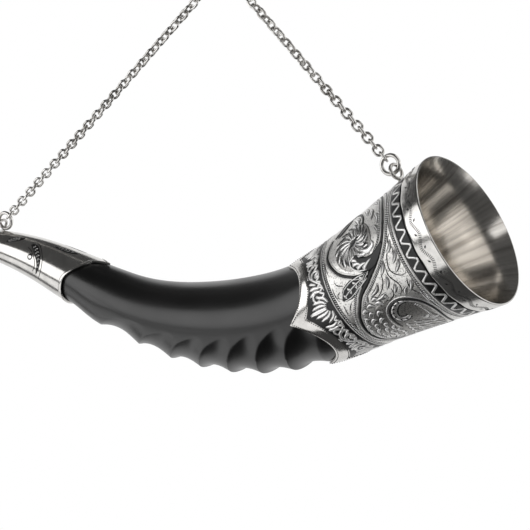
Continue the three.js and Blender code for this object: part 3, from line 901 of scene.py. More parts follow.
class Engraving:
    """A drawing on rolled silver, in degrees round the horn and millimetres along it."""

    def __init__(self, form, skin, copies):
        self.form = form
        self.skin = skin
        self.copies = copies
        self.layers = {}

    def radius(self, at):
        """Radius of the silver under a place, in millimetres."""
        return self.skin(at[1] * MM) / MM

    def moved(self, at, way, reach):
        """A place moved by millimetres in a direction on the silver."""
        return at[0] + math.degrees(way.x * reach / self.radius(at)), at[1] + way.y * reach

    def ways(self, path):
        """The direction of a path at each of its places."""
        made = []
        for before, after in zip(path[:1] + path[:-1], path[1:] + path[-1:]):
            round_it = math.radians(after[0] - before[0]) * self.radius(before)
            made.append(Vector((round_it, after[1] - before[1])).normalized())
        return made

    def beside(self, path, reach):
        """A path that runs beside another one."""
        return [
            self.moved(at, Vector((-way.y, way.x)), reach) for at, way in zip(path, self.ways(path))
        ]

    def edge(self, path, shape, reach, gap=0.0):
        """A path along one edge of a shaped stroke, or a gap off it."""
        last = len(path) - 1
        made = []
        for i, (at, way) in enumerate(zip(path, self.ways(path))):
            made.append(self.moved(at, Vector((-way.y, way.x)), reach * between(shape, i / last) + gap))
        return made

    def step(self, at, to):
        """Distance in millimetres between two places near each other."""
        return math.hypot(math.radians(to[0] - at[0]) * self.radius(at), to[1] - at[1])

    def walk(self, path, gap):
        """Places and directions at equal distances along a path."""
        made = []
        left = gap / 2
        for at, to, way in zip(path, path[1:], self.ways(path)):
            span = self.step(at, to)
            while left <= span:
                share = left / span
                made.append(((at[0] + (to[0] - at[0]) * share, at[1] + (to[1] - at[1]) * share), way))
                left += gap
            left -= span
        return made

    def stroke(self, layer, path, width, shape=EVEN, lift=0.05, crown=0.0, columns=2):
        """Lay a band of one layer along a path. Its width follows a shape, and it may be crowned."""
        if layer not in self.layers:
            self.layers[layer] = bmesh.new()
        bm = self.layers[layer]
        last = len(path) - 1
        ways = self.ways(path)
        for copy in self.copies:
            grid = bmesh.ops.create_grid(bm, x_segments=last, y_segments=columns, size=0.5)
            for vert in grid["verts"]:
                i = round((vert.co.x + 0.5) * last)
                across = 2 * vert.co.y
                half = width / 2 * between(shape, i / last)
                way = Vector((-ways[i].y, ways[i].x))
                turn, station = self.moved(path[i], way, half * across)
                height = self.skin(station * MM) + (lift + crown * (1 - across * across)) * MM
                vert.co = self.form.point(station * MM, math.radians(turn + copy), height)

    def rope(self, path, wide=1.25, gap=1.0):
        """A milled line: a dark groove with slanting ticks of silver across it."""
        self.stroke("line", path, wide, lift=0.03)
        for at, way in self.walk(path, gap):
            slant = Vector((way.x * 0.45 - way.y, way.y * 0.45 + way.x)).normalized()
            ends = [self.moved(at, slant, reach * wide / 2) for reach in (-1, 1)]
            self.stroke("relief", ends, gap * 0.52, lift=0.08, crown=0.08)

    def fingers(self, path, reach, count, lean, width):
        """Leaf fingers that stand off both sides of a midrib."""
        for n, (at, way) in enumerate(self.walk(path, self.span(path) / count)):
            share = (n + 0.5) / count
            out = reach * between((0.7, 1.0, 0.85, 0.35), share)
            for side in (-1, 1):
                across = Vector((-way.y, way.x)) * side
                first = (way * math.cos(lean) + across * math.sin(lean)).normalized()
                second = (way * math.cos(lean * 0.5) + across * math.sin(lean * 0.5)).normalized()
                middle = self.moved(at, first, out * 0.6)
                tip = self.moved(middle, second, out * 0.4)
                finger = flowing([at, middle, tip], 2)
                self.stroke("relief", finger, width, COMMA[::-1], lift=0.07, crown=0.06)

    def span(self, path):
        """Length of a path in millimetres."""
        return sum(self.step(at, to) for at, to in zip(path, path[1:]))

    def leaf(self, points, width, outline=0.35, shape=LEAF):
        """A chased leaf: a crowned silver blade in a dark outline."""
        path = flowing(points, 4)
        self.stroke("line", path, width + 2 * outline, shape, lift=0.04)
        self.stroke("relief", path, width, shape, lift=0.06, crown=0.04 + width * 0.025)

    def curl(self, centre, start, turns, wide, narrow, layer, width):
        """A spiral that runs in from a wide radius to a narrow one. Angles in degrees."""
        steps = max(6, round(abs(turns) * 22))
        path = []
        for i in range(steps + 1):
            share = i / steps
            reach = wide + (narrow - wide) * share
            turn = math.radians(start + 360 * turns * share)
            path.append(self.moved(centre, Vector((math.cos(turn), math.sin(turn))), reach))
        self.stroke(layer, path, width, COMMA, lift=0.07, crown=0.1)

    def put(self, name, layer, material):
        """Make a layer a piece, closed to a thin solid that sits in the sheet."""
        piece = put_piece(self.layers.pop(layer), name, finish(material), sharp=70)
        thickness = piece.modifiers.new("thickness", "SOLIDIFY")
        thickness.thickness = 0.25 * MM
        thickness.offset = -1


# The collar's drawing, as (degrees from the underside, millimetres from the mouth). It goes round
# twice. The stem swings from the mouth side to the tail side and back.
STEM = (
    (167, 29), (150, 23.4), (131, 21.5), (117, 22.3), (107, 24.6), (100, 28), (94, 32), (84, 40), (77, 46),
    (69, 50), (59, 54), (46, 56.5), (33, 57), (19, 55.5), (6, 51), (-3, 42), (-13, 29),
)
STEM_SHAPE = (0.45, 0.5, 0.55, 0.55, 0.65, 0.9, 1.0, 0.95, 0.75, 0.6, 0.55, 0.55, 0.5, 0.45, 0.4, 0.4, 0.45)
STEM_WIDTH = 2.6
MEDALLION = (
    (143, 54), (134, 56.5), (123, 57.5), (112, 55.8), (102, 52.5), (95, 47.5), (91.5, 43),
    (91, 38.5), (94, 33),
)
CRESCENT = ((109, 40.5), (105, 41.5), (101, 40.8), (97.5, 37.5), (97, 33), (101, 28.5), (106, 25))
TOP_LEAF = ((134, 34.5), (142, 34.8), (153, 38), (162, 43.5), (159, 48), (150, 50), (143, 53))
BUD = ((89, 38.5), (88, 43), (86, 48), (83, 52.5), (79.5, 56.3))
HOOK = (
    (-4, 41), (-4, 31), (3, 25), (16, 22.6), (33, 20.8), (43, 21.4), (50, 23.2), (55.5, 27), (58, 31),
    (57.5, 35), (54, 38.6), (48, 40.8), (40, 41.8), (30, 41.6),
)
HOOK_SHAPE = (0.4, 0.5, 0.6, 0.6, 0.65, 0.8, 1.0, 1.0, 1.0, 0.9, 0.5, 0.2)
COMMA_BODY = (
    (54.5, 27.5), (56.2, 31), (55.6, 34), (52, 37), (46.5, 38.8), (41, 38.4), (39, 35.6), (40.8, 33.2),
)
COMMA_ROPE = ((50, 26.6), (46, 25.4), (38, 24.8), (28, 25.6), (20, 27))
DROP_GROUND = ((2, 35), (10, 36), (20, 36), (30, 37), (42, 38.5), (54, 40), (62, 41))
DROP_SHAPE = (0.25, 0.75, 0.95, 1.0, 1.0, 0.85, 0.2)
DROP_WIDTH = 28
DROP_CENTRE = (47, 36)
# Radius of the silver under the drop, in millimetres.
DROP_RADIUS = 29
SPRIGS = (
    ((99, 22.5), (93, 25), (83, 26.5), (76, 23.2), (75.5, 19.6)),
    ((90, 27.5), (80, 28.5), (72, 26.5), (66, 26.5), (61.5, 29.4)),
    ((84, 31.5), (77, 33), (71, 36.5), (67, 41.5)),
    ((70, 31), (65, 31.5), (62, 34.5), (63, 38)),
    ((108, 19.8), (103, 21.8), (97, 20.6), (92, 21.6)),
    ((72, 21), (64, 22.6), (56, 20.2)),
)
SPRIG_LEAVES = (
    ((104, 20.6), (99, 21.6), (95, 24.4)),
    ((96, 19.8), (91, 20.6), (86, 23.4)),
    ((88, 19.6), (84, 21), (79, 24.6)),
    ((94, 27.6), (88, 29), (82.5, 31.6)),
    ((81, 29.8), (76, 30.4), (70.5, 33.2)),
    ((79, 35.5), (74, 38), (71.5, 42.5)),
    ((73, 28.4), (69, 28.8), (65, 31.2)),
    ((69, 34.5), (66.5, 37.5), (66.5, 41.5)),
    ((70, 19.6), (66, 20.8), (61, 24)),
    ((58, 19.6), (52, 19.4), (46, 19.6)),
    ((74, 43.5), (70, 45.5), (66, 46)),
    ((66, 23.4), (63.5, 25.6), (60.5, 26.4)),
)
LOW_FIELD = (
    ((95, 58.8), (88, 59), (81, 58.6)),
    ((99, 56.8), (94, 55.6), (91, 52.5)),
    ((76, 57.5), (71, 57.8), (65, 58.4)),
    ((75, 52.8), (72, 54.6), (68, 56.4)),
    ((56, 58.8), (48, 59), (40, 59)),
    ((108, 58.6), (115, 59.2), (122, 59.4)),
    ((88, 55.6), (86, 57.6), (82, 57.8)),
)
MEDALLION_CENTRE = (118, 41)
MEDALLION_RADIUS = 11.2
ACANTHUS = (122, 41)
ACANTHUS_HEART = ((124.5, 37.5), (121.5, 40.5), (117.5, 44))
CURLED_TIP = ((114, 37.5), (110, 36.8), (107, 33.6), (109, 30.2), (113, 30.6))
TIP_VEINS = (
    (((112.5, 36), (109.6, 34.6), (109.4, 32)), 0.5),
    (((115.5, 34.6), (113, 34), (111.8, 32)), 0.6),
)
CRESCENT_FINGERS = (
    ((107.2, 43.6), (105, 41.6), (102.4, 41.2)),
    ((102.6, 43.8), (101.6, 40.8), (99, 39.4)),
    ((97.6, 42), (99, 38.8), (98.4, 36.4)),
    ((94.8, 38.8), (97.4, 36.2), (99.2, 33.2)),
)
CRESCENT_EDGE = ((109.4, 41.4), (106.8, 44.6), (101.4, 44.8), (95.6, 42), (93.2, 37.4))
TOP_HEART = ((157, 44), (149, 47), (141, 51))
TOP_MIDRIB = ((154, 45), (149, 47), (143.5, 50))
# Direction in degrees, reach and width in millimetres.
LOBES = tuple((24 * i - 34, 8.2 + 1.8 * math.sin(math.pi * i / 11), 3.5) for i in range(15))
TOP_LEAVES = (
    (((137, 37), (144, 38), (152, 41.5)), 2.2),
    (((131, 29.4), (138, 28.4), (147, 30.6)), 2.0),
    (((121, 25.2), (129, 24.8), (136, 27)), 1.7),
    (((140, 31.6), (147, 32.4), (155, 35.4)), 1.8),
    (((146, 26), (152, 27.4), (159, 31)), 1.6),
    (((113, 26.4), (118, 25.4), (124, 27.6)), 1.5),
)
DROP_LEAVES = (
    (30, 26.8), (25, 29), (19, 28), (13, 29), (8, 31),
    (34, 29.5), (29, 31.5), (24, 32.5), (18, 32), (12, 33.5),
    (33, 34.5), (28, 35.5), (22, 36), (16, 36.5), (10, 38),
    (33, 38), (27, 39), (21, 39.8), (15, 40.6), (9, 42.5),
    (36, 43.8), (30, 43.5), (24, 43.4), (18, 44.4), (12, 46.4),
    (42, 45), (36, 47.2), (30, 47), (24, 47), (18, 48.5),
    (48, 44.2), (54, 42.6), (60, 39.6), (62.5, 36), (62, 44),
    (56, 46.5), (50, 47.8), (44, 49), (38, 50.6), (31, 50.8),
    (25, 51), (65, 40.5), (60, 48), (53, 50.4), (46, 52.4), (39, 53.6),
)


def draw_stem(art):
    """The black stem with its milled and silver lines, and the arc that closes the medallion."""
    stem = flowing(STEM)
    art.stroke("niello", stem, STEM_WIDTH, STEM_SHAPE)
    shape = [max(0.55, value) for value in STEM_SHAPE]
    for side in (1, -1):
        near = art.edge(stem, shape, side * STEM_WIDTH / 2, side * 0.45)
        art.stroke("relief", near, 0.5, EVEN, lift=0.05, crown=0.1)
        art.rope(art.beside(near, side * 1.05))
    arc = flowing(MEDALLION)
    art.stroke("niello", arc, 1.5, (0.5, 0.9, 1.0, 1.0, 1.0, 1.0, 0.9))
    inner = art.beside(arc, -1.15)
    art.stroke("relief", inner[:-8], 0.45, EVEN, lift=0.05, crown=0.08)
    outer = art.beside(arc, 1.2)
    art.stroke("relief", outer[2:-12], 0.45, EVEN, lift=0.05, crown=0.08)


def draw_medallion(art):
    """The curled acanthus in the upper round, its crescent leaf and its top leaf."""
    wide = MEDALLION_RADIUS
    ground = [art.moved(MEDALLION_CENTRE, Vector((1, 0)), reach) for reach in spread(-wide, wide, 24)]
    round_shape = [math.sqrt(max(0.0, 1 - share * share)) for share in spread(-1, 1, 24)]
    art.stroke("matted", ground, 2 * wide, round_shape, lift=0.02, columns=24)
    for turn, reach, width in LOBES:
        points = []
        for share, bend in ((0.0, 0), (0.35, 4), (0.7, 16), (1.0, 34)):
            turned_by = math.radians(turn + bend)
            way = Vector((math.cos(turned_by), math.sin(turned_by)))
            points.append(art.moved(ACANTHUS, way, 1.4 + reach * share))
        art.leaf(points, width, outline=0.4, shape=(0.15, 0.6, 0.95, 1.0, 0.75, 0.2))
        rib = flowing(points, 4)
        art.stroke("line", rib[2:-2], 0.45, COMMA, lift=0.24)
        for side in (-1, 1):
            for inset, first in ((0.16, 5), (0.3, 8)):
                art.stroke("line", art.beside(rib, side * width * inset)[first:-1], 0.3, LEAF, lift=0.2)
    art.stroke("niello", flowing(ACANTHUS_HEART, 3), 2.2, LEAF, lift=0.2)
    art.stroke("relief", flowing(CURLED_TIP, 4), 3.4, LEAF, lift=0.14, crown=0.06)
    for points, width in TIP_VEINS:
        art.stroke("line", flowing(points, 4), width, LEAF, lift=0.24)
    crescent = flowing(CRESCENT, 4)
    art.stroke("niello", crescent, 6.6, (0.15, 0.65, 1.0, 1.0, 0.85, 0.5, 0.2), lift=0.2, columns=8)
    for points in CRESCENT_FINGERS:
        art.stroke("relief", flowing(points, 3), 1.9, COMMA, lift=0.24, crown=0.05)
    edge = flowing(CRESCENT_EDGE, 4)
    art.stroke("relief", edge, 0.75, EVEN, lift=0.24, crown=0.05)
    art.stroke("niello", art.beside(edge, 0.75), 0.8, EVEN, lift=0.2)
    art.stroke("niello", flowing(TOP_LEAF), 1.2, (0.8, 1.0, 1.0, 1.0, 0.8), lift=0.2)
    art.stroke("niello", flowing(TOP_HEART, 4), 3.8, LEAF, lift=0.2, columns=4)
    art.fingers(flowing(TOP_MIDRIB, 4), reach=1.6, count=4, lean=0.8, width=0.8)
    for points, width in TOP_LEAVES:
        art.leaf(points, width)
        art.stroke("line", flowing(points, 3)[1:-1], 0.35, COMMA, lift=0.16)


def draw_bud(art):
    """The black bud on the stem, with a fishbone of silver fingers."""
    bud = flowing(BUD, 4)
    shape = (0.3, 0.75, 1.0, 0.95, 0.2)
    art.stroke("niello", bud, 6.6, shape, lift=0.08, columns=6)
    for side in (-1, 1):
        art.stroke("relief", art.edge(bud, shape, side * 2.55)[1:], 0.5, EVEN, lift=0.12, crown=0.05)
    art.stroke("relief", bud[2:-2], 0.55, EVEN, lift=0.12, crown=0.05)
    art.fingers(bud[1:-1], reach=2.2, count=4, lean=0.85, width=1.35)


def draw_drop(art):
    """The drop-shaped round: a black hook with a comma in its head, and rows of short leaves."""
    art.stroke("matted", flowing(DROP_GROUND), DROP_WIDTH, DROP_SHAPE, lift=0.02, columns=20)
    hook = flowing(HOOK, 4)
    art.stroke("niello", hook, 1.5, HOOK_SHAPE, lift=0.16)
    art.stroke("relief", art.beside(hook, -1.3), 0.6, EVEN, lift=0.1, crown=0.06)
    art.stroke("relief", art.beside(hook, 1.0)[8:40], 0.4, EVEN, lift=0.12, crown=0.05)
    body = flowing(COMMA_BODY, 4)
    art.stroke("niello", body, 3.9, (0.25, 0.65, 0.9, 1.0, 0.95, 1.0, 0.7), lift=0.14, columns=6)
    art.stroke("relief", body[2:], 2.5, (0.2, 0.7, 1.0, 1.0, 0.9, 0.5), lift=0.18, crown=0.03, columns=4)
    for at, way in art.walk(body[4:-2], 2.4):
        tip = art.moved(at, Vector((way.x * 1.2 + way.y, way.y * 1.2 - way.x)).normalized(), 1.6)
        art.stroke("niello", flowing([at, tip], 2), 1.0, COMMA, lift=0.25)
    art.rope(flowing(COMMA_ROPE), wide=1.0)
    for n, (turn, station) in enumerate(DROP_LEAVES):
        round_it = math.radians(turn - DROP_CENTRE[0]) * DROP_RADIUS
        away = math.atan2(station - DROP_CENTRE[1], round_it)
        bend = away + (1.3 if n % 2 else 0.9)
        at = (turn, station)
        middle = art.moved(at, Vector((math.cos(away), math.sin(away))), 2.0)
        tip = art.moved(middle, Vector((math.cos(bend), math.sin(bend))), 2.6)
        art.leaf([at, middle, tip], 1.6, outline=0.45)


def draw_field(art):
    """Bright silver between the stem and the bands, with engraved sprigs and fine leaves."""
    for sprig in SPRIGS:
        path = flowing(sprig)
        art.stroke("line", path, 0.55, (0.4, 1.0, 1.0, 0.7, 0.3), lift=0.05)
        for n, (at, way) in enumerate(art.walk(path, 1.9)):
            side = 1 if n % 2 else -1
            tip = art.moved(at, Vector((way.x - side * way.y, way.y + side * way.x)).normalized(), 1.5)
            art.stroke("line", [at, tip], 0.6, (0.3, 1.0, 0.2), lift=0.05)
    for points in SPRIG_LEAVES:
        art.leaf(points, 1.5, outline=0.3)
        art.stroke("line", flowing(points, 3)[1:-2], 0.35, COMMA, lift=0.16)
    for points in LOW_FIELD:
        path = flowing(points)
        art.stroke("line", path, 0.5, LEAF, lift=0.05)
        for at, way in art.walk(path, 1.4):
            tip = art.moved(at, Vector((way.x - way.y, way.y + way.x)).normalized(), 1.1)
            art.stroke("line", [at, tip], 0.45, (0.3, 1.0, 0.2), lift=0.05)


class DRINKINGHORN_OT_scrolls(bpy.types.Operator):
    """Engrave the collar's scrolling stem, its rounds and its leaves"""

    bl_idname = "drinking_horn.scrolls"
    bl_label = "Collar scrollwork"

    def execute(self, context):
        scene = context.scene
        form, mounts = HornForm(scene), scene.mount_shape
        art = Engraving(form, collar_skin(form, mounts), (0, 180))
        draw_stem(art)
        draw_medallion(art)
        draw_bud(art)
        draw_drop(art)
        draw_field(art)
        art.put("collar_scroll_relief", "relief", "relief")
        art.put("collar_scroll_lines", "line", "line")
        art.put("collar_scroll_niello", "niello", "niello")
        art.put("collar_matted_ground", "matted", "matted")
        return {"FINISHED"}


# Bands and lines round the collar, in millimetres from the mouth.
ZIGZAG_GROUND = 13.25
FRONT_BEAD = 16.85
FRONT_ROPE = 18.1
FRONT_LINE = 19.0
REAR_ROPE = 60.2
REAR_LINE = 61.05
REAR_BEAD = 61.6
LEAF_BAND_FRONT = 62.0
ZIGZAG_TEETH = 32
# One tooth of the zigzag, as a share of its pitch and millimetres from the mouth.
ZIGZAG = ((0.0, 11.4), (0.2, 11.2), (0.5, 15.0), (0.7, 15.2))


def draw_zigzag(art, teeth):
    """A silver zigzag on the black band behind the rim."""
    pitch = 360 / teeth
    corners = [(pitch * (i + share), station) for i in range(teeth) for share, station in ZIGZAG]
    corners.append((360, ZIGZAG[0][1]))
    path = []
    for at, to in zip(corners, corners[1:]):
        path += [(at[0] + (to[0] - at[0]) * k / 3, at[1] + (to[1] - at[1]) * k / 3) for k in range(3)]
    art.stroke("relief", path + corners[-1:], 1.05, EVEN, lift=0.12, crown=0.06)


def draw_leaf_band(art):
    """Silver scrolls on the black band: a palmette at each point, curls and sprays between."""
    for side in (-1, 1):
        for points, width in PALMETTE:
            path = flowing([(side * (POINT_TURN - turn), station) for turn, station in points], 4)
            art.stroke("relief", path, width, (0.35, 0.75, 1.0, 0.9, 0.3), lift=0.1, crown=0.06)
    for points, width in RUNNING_SCROLL:
        art.stroke("relief", flowing(points, 4), width, (0.3, 0.8, 1.0, 0.9, 0.3), lift=0.1, crown=0.06)
    for i in range(-8, 9):
        tilt = 1.6 if i % 2 else -1.6
        leaflet = flowing([(3 * i - tilt, 63.6), (3 * i, 64.8), (3 * i + tilt, 66.4)], 3)
        art.stroke("relief", leaflet, 1.3, LEAF, lift=0.1, crown=0.05)
    for centre, start, turns, wide in BAND_CURLS:
        art.curl(centre, start, turns, wide, narrow=0.5, layer="relief", width=1.4)


# One part of the leaf band, in degrees from the middle of a hollow. The palmettes are drawn in degrees
# from the point.
POINT_TURN = 36
PALMETTE = (
    (((0.6, 66), (0.6, 70), (0.6, 75.6)), 1.9),
    (((2.4, 65.6), (4.6, 69), (4.4, 73.6)), 1.9),
    (((3.6, 65), (8, 67.6), (9.2, 72)), 1.9),
    (((4.4, 64), (10, 65.2), (13.4, 69)), 1.7),
)
RUNNING_SCROLL = (
    (((-20, 63.4), (-13, 64.2), (-6, 67.4), (0, 69.6), (7, 68.6), (12, 64.8), (20, 63.4)), 1.5),
    (((-19, 65.4), (-17, 68.4), (-19.5, 72)), 1.9),
    (((-15.6, 65.4), (-13, 68), (-13.4, 71.2)), 1.9),
    (((-11, 66.8), (-8, 69), (-7.6, 70.6)), 1.5),
    (((20, 65.4), (17.6, 68.6), (20, 72)), 1.9),
    (((15.6, 66), (14.6, 69), (15.8, 71.6)), 1.9),
    (((-2, 70.6), (0, 71.2), (3, 71)), 0.9),
)
BAND_CURLS = (
    ((-1.5, 65.6), 120, -1.3, 2.8),
    ((9.6, 68.8), 250, 1.1, 2.4),
    ((-23.5, 68.6), 0, 1.2, 2.4),
)


class DRINKINGHORN_OT_bands(bpy.types.Operator):
    """Lay the black bands of the collar with their silver zigzag and scrolls"""

    bl_idname = "drinking_horn.bands"
    bl_label = "Collar bands"

    def execute(self, context):
        scene = context.scene
        form, mounts = HornForm(scene), scene.mount_shape
        skin = collar_skin(form, mounts)
        circle = spread(0, 360, COLLAR_SIDES)

        def ring(station):
            return [(turn, station) for turn in circle]

        art = Engraving(form, skin, (0,))
        art.stroke("niello", ring(ZIGZAG_GROUND), 6.3, columns=6)
        draw_zigzag(art, ZIGZAG_TEETH)
        art.stroke("relief", ring(FRONT_BEAD), 0.6, EVEN, lift=0.05, crown=0.12)
        art.rope(ring(FRONT_ROPE), wide=1.1)
        art.stroke("line", ring(FRONT_LINE), 0.35, EVEN, lift=0.04)
        art.rope(ring(REAR_ROPE), wide=1.1)
        art.stroke("line", ring(REAR_LINE), 0.4, EVEN, lift=0.04)
        art.stroke("relief", ring(REAR_BEAD), 0.55, EVEN, lift=0.05, crown=0.12)
        for share, side in ((0.86, "rear"), (0.1, "front")):
            trail = [(turn, border_edge(mounts, math.radians(turn), share) / MM) for turn in circle]
            stitch = Engraving(form, lambda at: skin(at) + mounts.border_raise, (0,))
            for at, way in stitch.walk(trail, 0.55)[1::2]:
                stitch.stroke("stitch", [at, stitch.moved(at, way, 0.5)], 0.28, EVEN, lift=0.03)
            stitch.put(f"border_stitch_{side}", "stitch", "line")
        front = LEAF_BAND_FRONT * MM
        inlay = 0.05 * MM

        def band(share):
            return lambda turn: front + (border_edge(mounts, turn, 0.05) - front) * share

        rows = [edge_row(band(share), lambda at: skin(at) + inlay) for share in spread(0, 1, 12)]
        ground = rolled(form, rows, COLLAR_SIDES)
        put_piece(ground, "leaf_band_ground", finish("niello"))
        part = 360 / mounts.collar_points
        hollow = math.degrees(mounts.collar_point_angle) - part / 2
        leaves = Engraving(form, skin, [hollow + part * i for i in range(mounts.collar_points)])
        draw_leaf_band(leaves)
        leaves.put("leaf_band_scrolls", "relief", "relief")
        art.put("collar_band_relief", "relief", "relief")
        art.put("collar_band_lines", "line", "line")
        art.put("zigzag_ground", "niello", "niello")
        return {"FINISHED"}


class DRINKINGHORN_OT_rim_vine(bpy.types.Operator):
    """Engrave the wavy vine on the rim band"""

    bl_idname = "drinking_horn.rim_vine"
    bl_label = "Rim vine"

    def execute(self, context):
        scene = context.scene
        form, mounts = HornForm(scene), scene.mount_shape
        waves = mounts.band_waves
        skin = silver_face(form, mounts, (1 + mounts.band_crown) * mounts.band_thickness)
        art = Engraving(form, skin, (0,))
        middle = 5.6
        turns = spread(0, 360, 360)
        vine = [(turn, middle + 1.1 * math.sin(math.radians(turn * waves))) for turn in turns]
        for at, way in art.walk(vine, 0.8):
            across = Vector((-way.y, way.x))
            tick = [art.moved(at, across, reach) for reach in (-0.8, 0.8)]
            art.stroke("line", tick, 0.34, EVEN, lift=0.02)
        for i in range(2 * waves):
            side = -1 if i % 2 else 1
            at = (360 * (i + 0.5) / (2 * waves), middle - side * 0.9)
            ends = [art.moved(at, Vector((0.75, -side * 0.66)), reach) for reach in (-0.9, 0, 0.9)]
            art.stroke("line", ends, 0.9, (0.1, 1.0, 0.1), lift=0.02)
        art.put("rim_vine", "line", "line")
        return {"FINISHED"}


# The tail cap's drawing, in degrees from the underside and millimetres from the mouth.
TAIL_OVAL = ((152, 275), (138, 281), (122, 285))
TAIL_LEAF = ((140, 268), (131, 263.6), (112, 259), (92, 257), (70, 258))
TAIL_TOP = ((166, 240), (163, 247.5), (160, 256))
TAIL_PEARL = (106, 264.6)


def draw_tail_side(art, sign, turn):
    """The black oval, the long leaf and the pearl on one side of the tail cap."""

    def here(points):
        return [(turn + sign * at[0], at[1]) for at in points]

    oval = flowing(here(TAIL_OVAL))
    art.stroke("niello", oval, 4.4, (0.1, 0.8, 1.0, 0.8, 0.1), columns=4)
    art.fingers(oval[2:-2], reach=1.5, count=5, lean=0.8, width=0.6)
    leaf = flowing(here(TAIL_LEAF))
    art.stroke("niello", leaf, 3.6, (0.3, 1.0, 1.0, 0.8, 0.5, 0.1), columns=4)
    art.fingers(leaf[2:-4], reach=1.3, count=7, lean=0.85, width=0.6)
    for layer, wide, lift in (("niello", 3.4, 0.02), ("relief", 2.2, 0.1)):
        pearl = here([(TAIL_PEARL[0], TAIL_PEARL[1] + off * wide) for off in (-0.5, 0, 0.5)])
        art.stroke(layer, flowing(pearl, 4), wide, (0.3, 0.9, 1.0, 0.9, 0.3), lift=lift, columns=4)
    art.stroke("line", art.beside(leaf, 2.6), 0.4, EVEN, lift=0.04)
    art.stroke("line", art.beside(leaf, -2.6), 0.4, EVEN, lift=0.04)


class DRINKINGHORN_OT_tail_leaves(bpy.types.Operator):
    """Inlay the black leaves of the tail cap"""

    bl_idname = "drinking_horn.tail_leaves"
    bl_label = "Tail cap leaves"

    def execute(self, context):
        scene = context.scene
        form, mounts = HornForm(scene), scene.mount_shape
        art = Engraving(form, cap_skin(form, mounts), (0,))
        draw_tail_side(art, 1, 0)
        draw_tail_side(art, -1, 360)
        top = flowing(TAIL_TOP)
        for path in (top, [(360 - at[0], at[1]) for at in top]):
            art.stroke("niello", path, 3.6, (0.1, 0.9, 1.0, 0.8, 0.1), columns=4)
            art.fingers(path[2:-2], reach=1.2, count=5, lean=0.8, width=0.5)
        art.put("tail_leaf_fingers", "relief", "relief")
        art.put("tail_leaf_lines", "line", "line")
        art.put("tail_leaf_niello", "niello", "niello")
        return {"FINISHED"}


class DRINKINGHORN_OT_mouth_eye(bpy.types.Operator):
    """Build the wire eye on the collar and its flared foot"""

    bl_idname = "drinking_horn.mouth_eye"
    bl_label = "Mouth eye"

    def execute(self, context):
        scene = context.scene
        form, mounts = HornForm(scene), scene.mount_shape
        _, ahead, up = form.at(mounts.eye_station)
        side = ACROSS * math.cos(mounts.eye_turn) + ahead * math.sin(mounts.eye_turn)
        centre = eye_centre(form, mounts)
        loop = eye_loop(basis(side, up, centre), mounts.eye_radius, mounts.eye_wire)
        low = mounts.eye_height - mounts.eye_radius
        flare = []
        for share in spread(0, 1, 8):
            widened = (mounts.eye_foot - mounts.eye_neck) * (1 - share) ** 2
            flare.append((mounts.eye_neck + widened, -low + low * share))
        bottom = -low - mounts.eye_sink
        profile = [(0, bottom), (mounts.eye_foot, bottom), *flare, (0, 0)]
        foot = turned(profile, centre - up * mounts.eye_radius, up)
        eye = joined([loop, foot])
        put_piece(eye, "mouth_wire_eye", finish("chain"), nodes=["mouth_eye"])
        return {"FINISHED"}


CAP_INSIDE_ROWS = 24
CAP_OUTSIDE_ROWS = 40
CAP_LIP_ROWS = 8
CAP_END_ROWS = 4
CAP_SIDES = 180
BALL_SIDES = 48


def cap_rows(form, shape, mounts):
    """Rows of the tail cap: along its inside, over a rounded lip and back to a rounded end."""
    under, skin = silver_face(form, mounts), cap_skin(form, mounts)
    end = shape.horn_length + mounts.sheet_gap
    tip = end + mounts.cap_thickness
    lip, rounding = mounts.cap_lip, mounts.cap_round

    def along(share, inset, last):
        def station(turn):
            first = cap_edge(mounts, turn) + inset
            return first + (last - first) * share

        return station

    def lip_row(turn):
        inset = lip * (1 - math.cos(turn)) / 2
        raised = mounts.border_raise * math.sin(turn) ** 0.6
        return edge_row(along(0, inset, end), lambda at: skin(at) + raised)

    def end_row(turn):
        radius = skin(shape.horn_length) - rounding * (1 - math.cos(turn))
        return ring_row(tip - rounding + rounding * math.sin(turn), lambda at: radius)

    rows = [ring_row(end, lambda at: 0.0)]
    rows += [edge_row(along(share, 0, end), under) for share in spread(1, 0, CAP_INSIDE_ROWS)]
    rows += [lip_row(turn) for turn in spread(0, math.pi, CAP_LIP_ROWS)]
    for share in spread(0, 1, CAP_OUTSIDE_ROWS)[1:]:
        rows.append(edge_row(along(share, lip, tip - rounding), skin))
    rows += [end_row(turn) for turn in spread(0, math.pi / 2, CAP_END_ROWS)[1:]]
    rows.append(ring_row(tip, lambda at: 0.0))
    return rows


def ball_profile(mounts, flange):
    """Profile of the ball with its foot and neck, as radius and height."""
    ball, neck = mounts.knob_radius, mounts.knob_neck
    foot, edge = mounts.knob_foot, mounts.knob_foot_edge
    profile = [(0, 0), (flange - edge, 0), (flange, edge), (flange, foot - edge), (flange - edge, foot)]
    for share in spread(0, 1, 6)[1:]:
        radius = flange + (neck - flange) * math.sin(share * math.pi / 2)
        profile.append((radius, foot + mounts.knob_cove * share))
    centre = mounts.knob_neck_length + math.sqrt(ball**2 - neck**2)
    for turn in spread(math.pi - math.asin(neck / ball), 0, 20):
        profile.append((ball * math.sin(turn), centre + ball * math.cos(turn)))
    profile[-1] = (0, centre + ball)
    return profile


def bent_staple(form, mounts):
    """A bow of wire whose two legs run straight down into the cap."""
    _, _, up = form.at(mounts.staple_station)
    crown = Matrix.Rotation(mounts.staple_lean, 3, ACROSS) @ up
    centre = staple_centre(form, mounts)
    bow = eye_loop(basis(ACROSS, crown, centre), mounts.staple_radius, mounts.staple_wire)
    low = mounts.staple_height + mounts.staple_sink
    for vert in bow.verts:
        height = (vert.co - centre).dot(crown)
        if height < 0:
            across = (vert.co - centre).dot(ACROSS)
            straight = math.copysign(math.hypot(across, height), across)
            drop = low * height / mounts.staple_radius
            vert.co += ACROSS * (straight - across) + crown * (drop - height)
    return bow


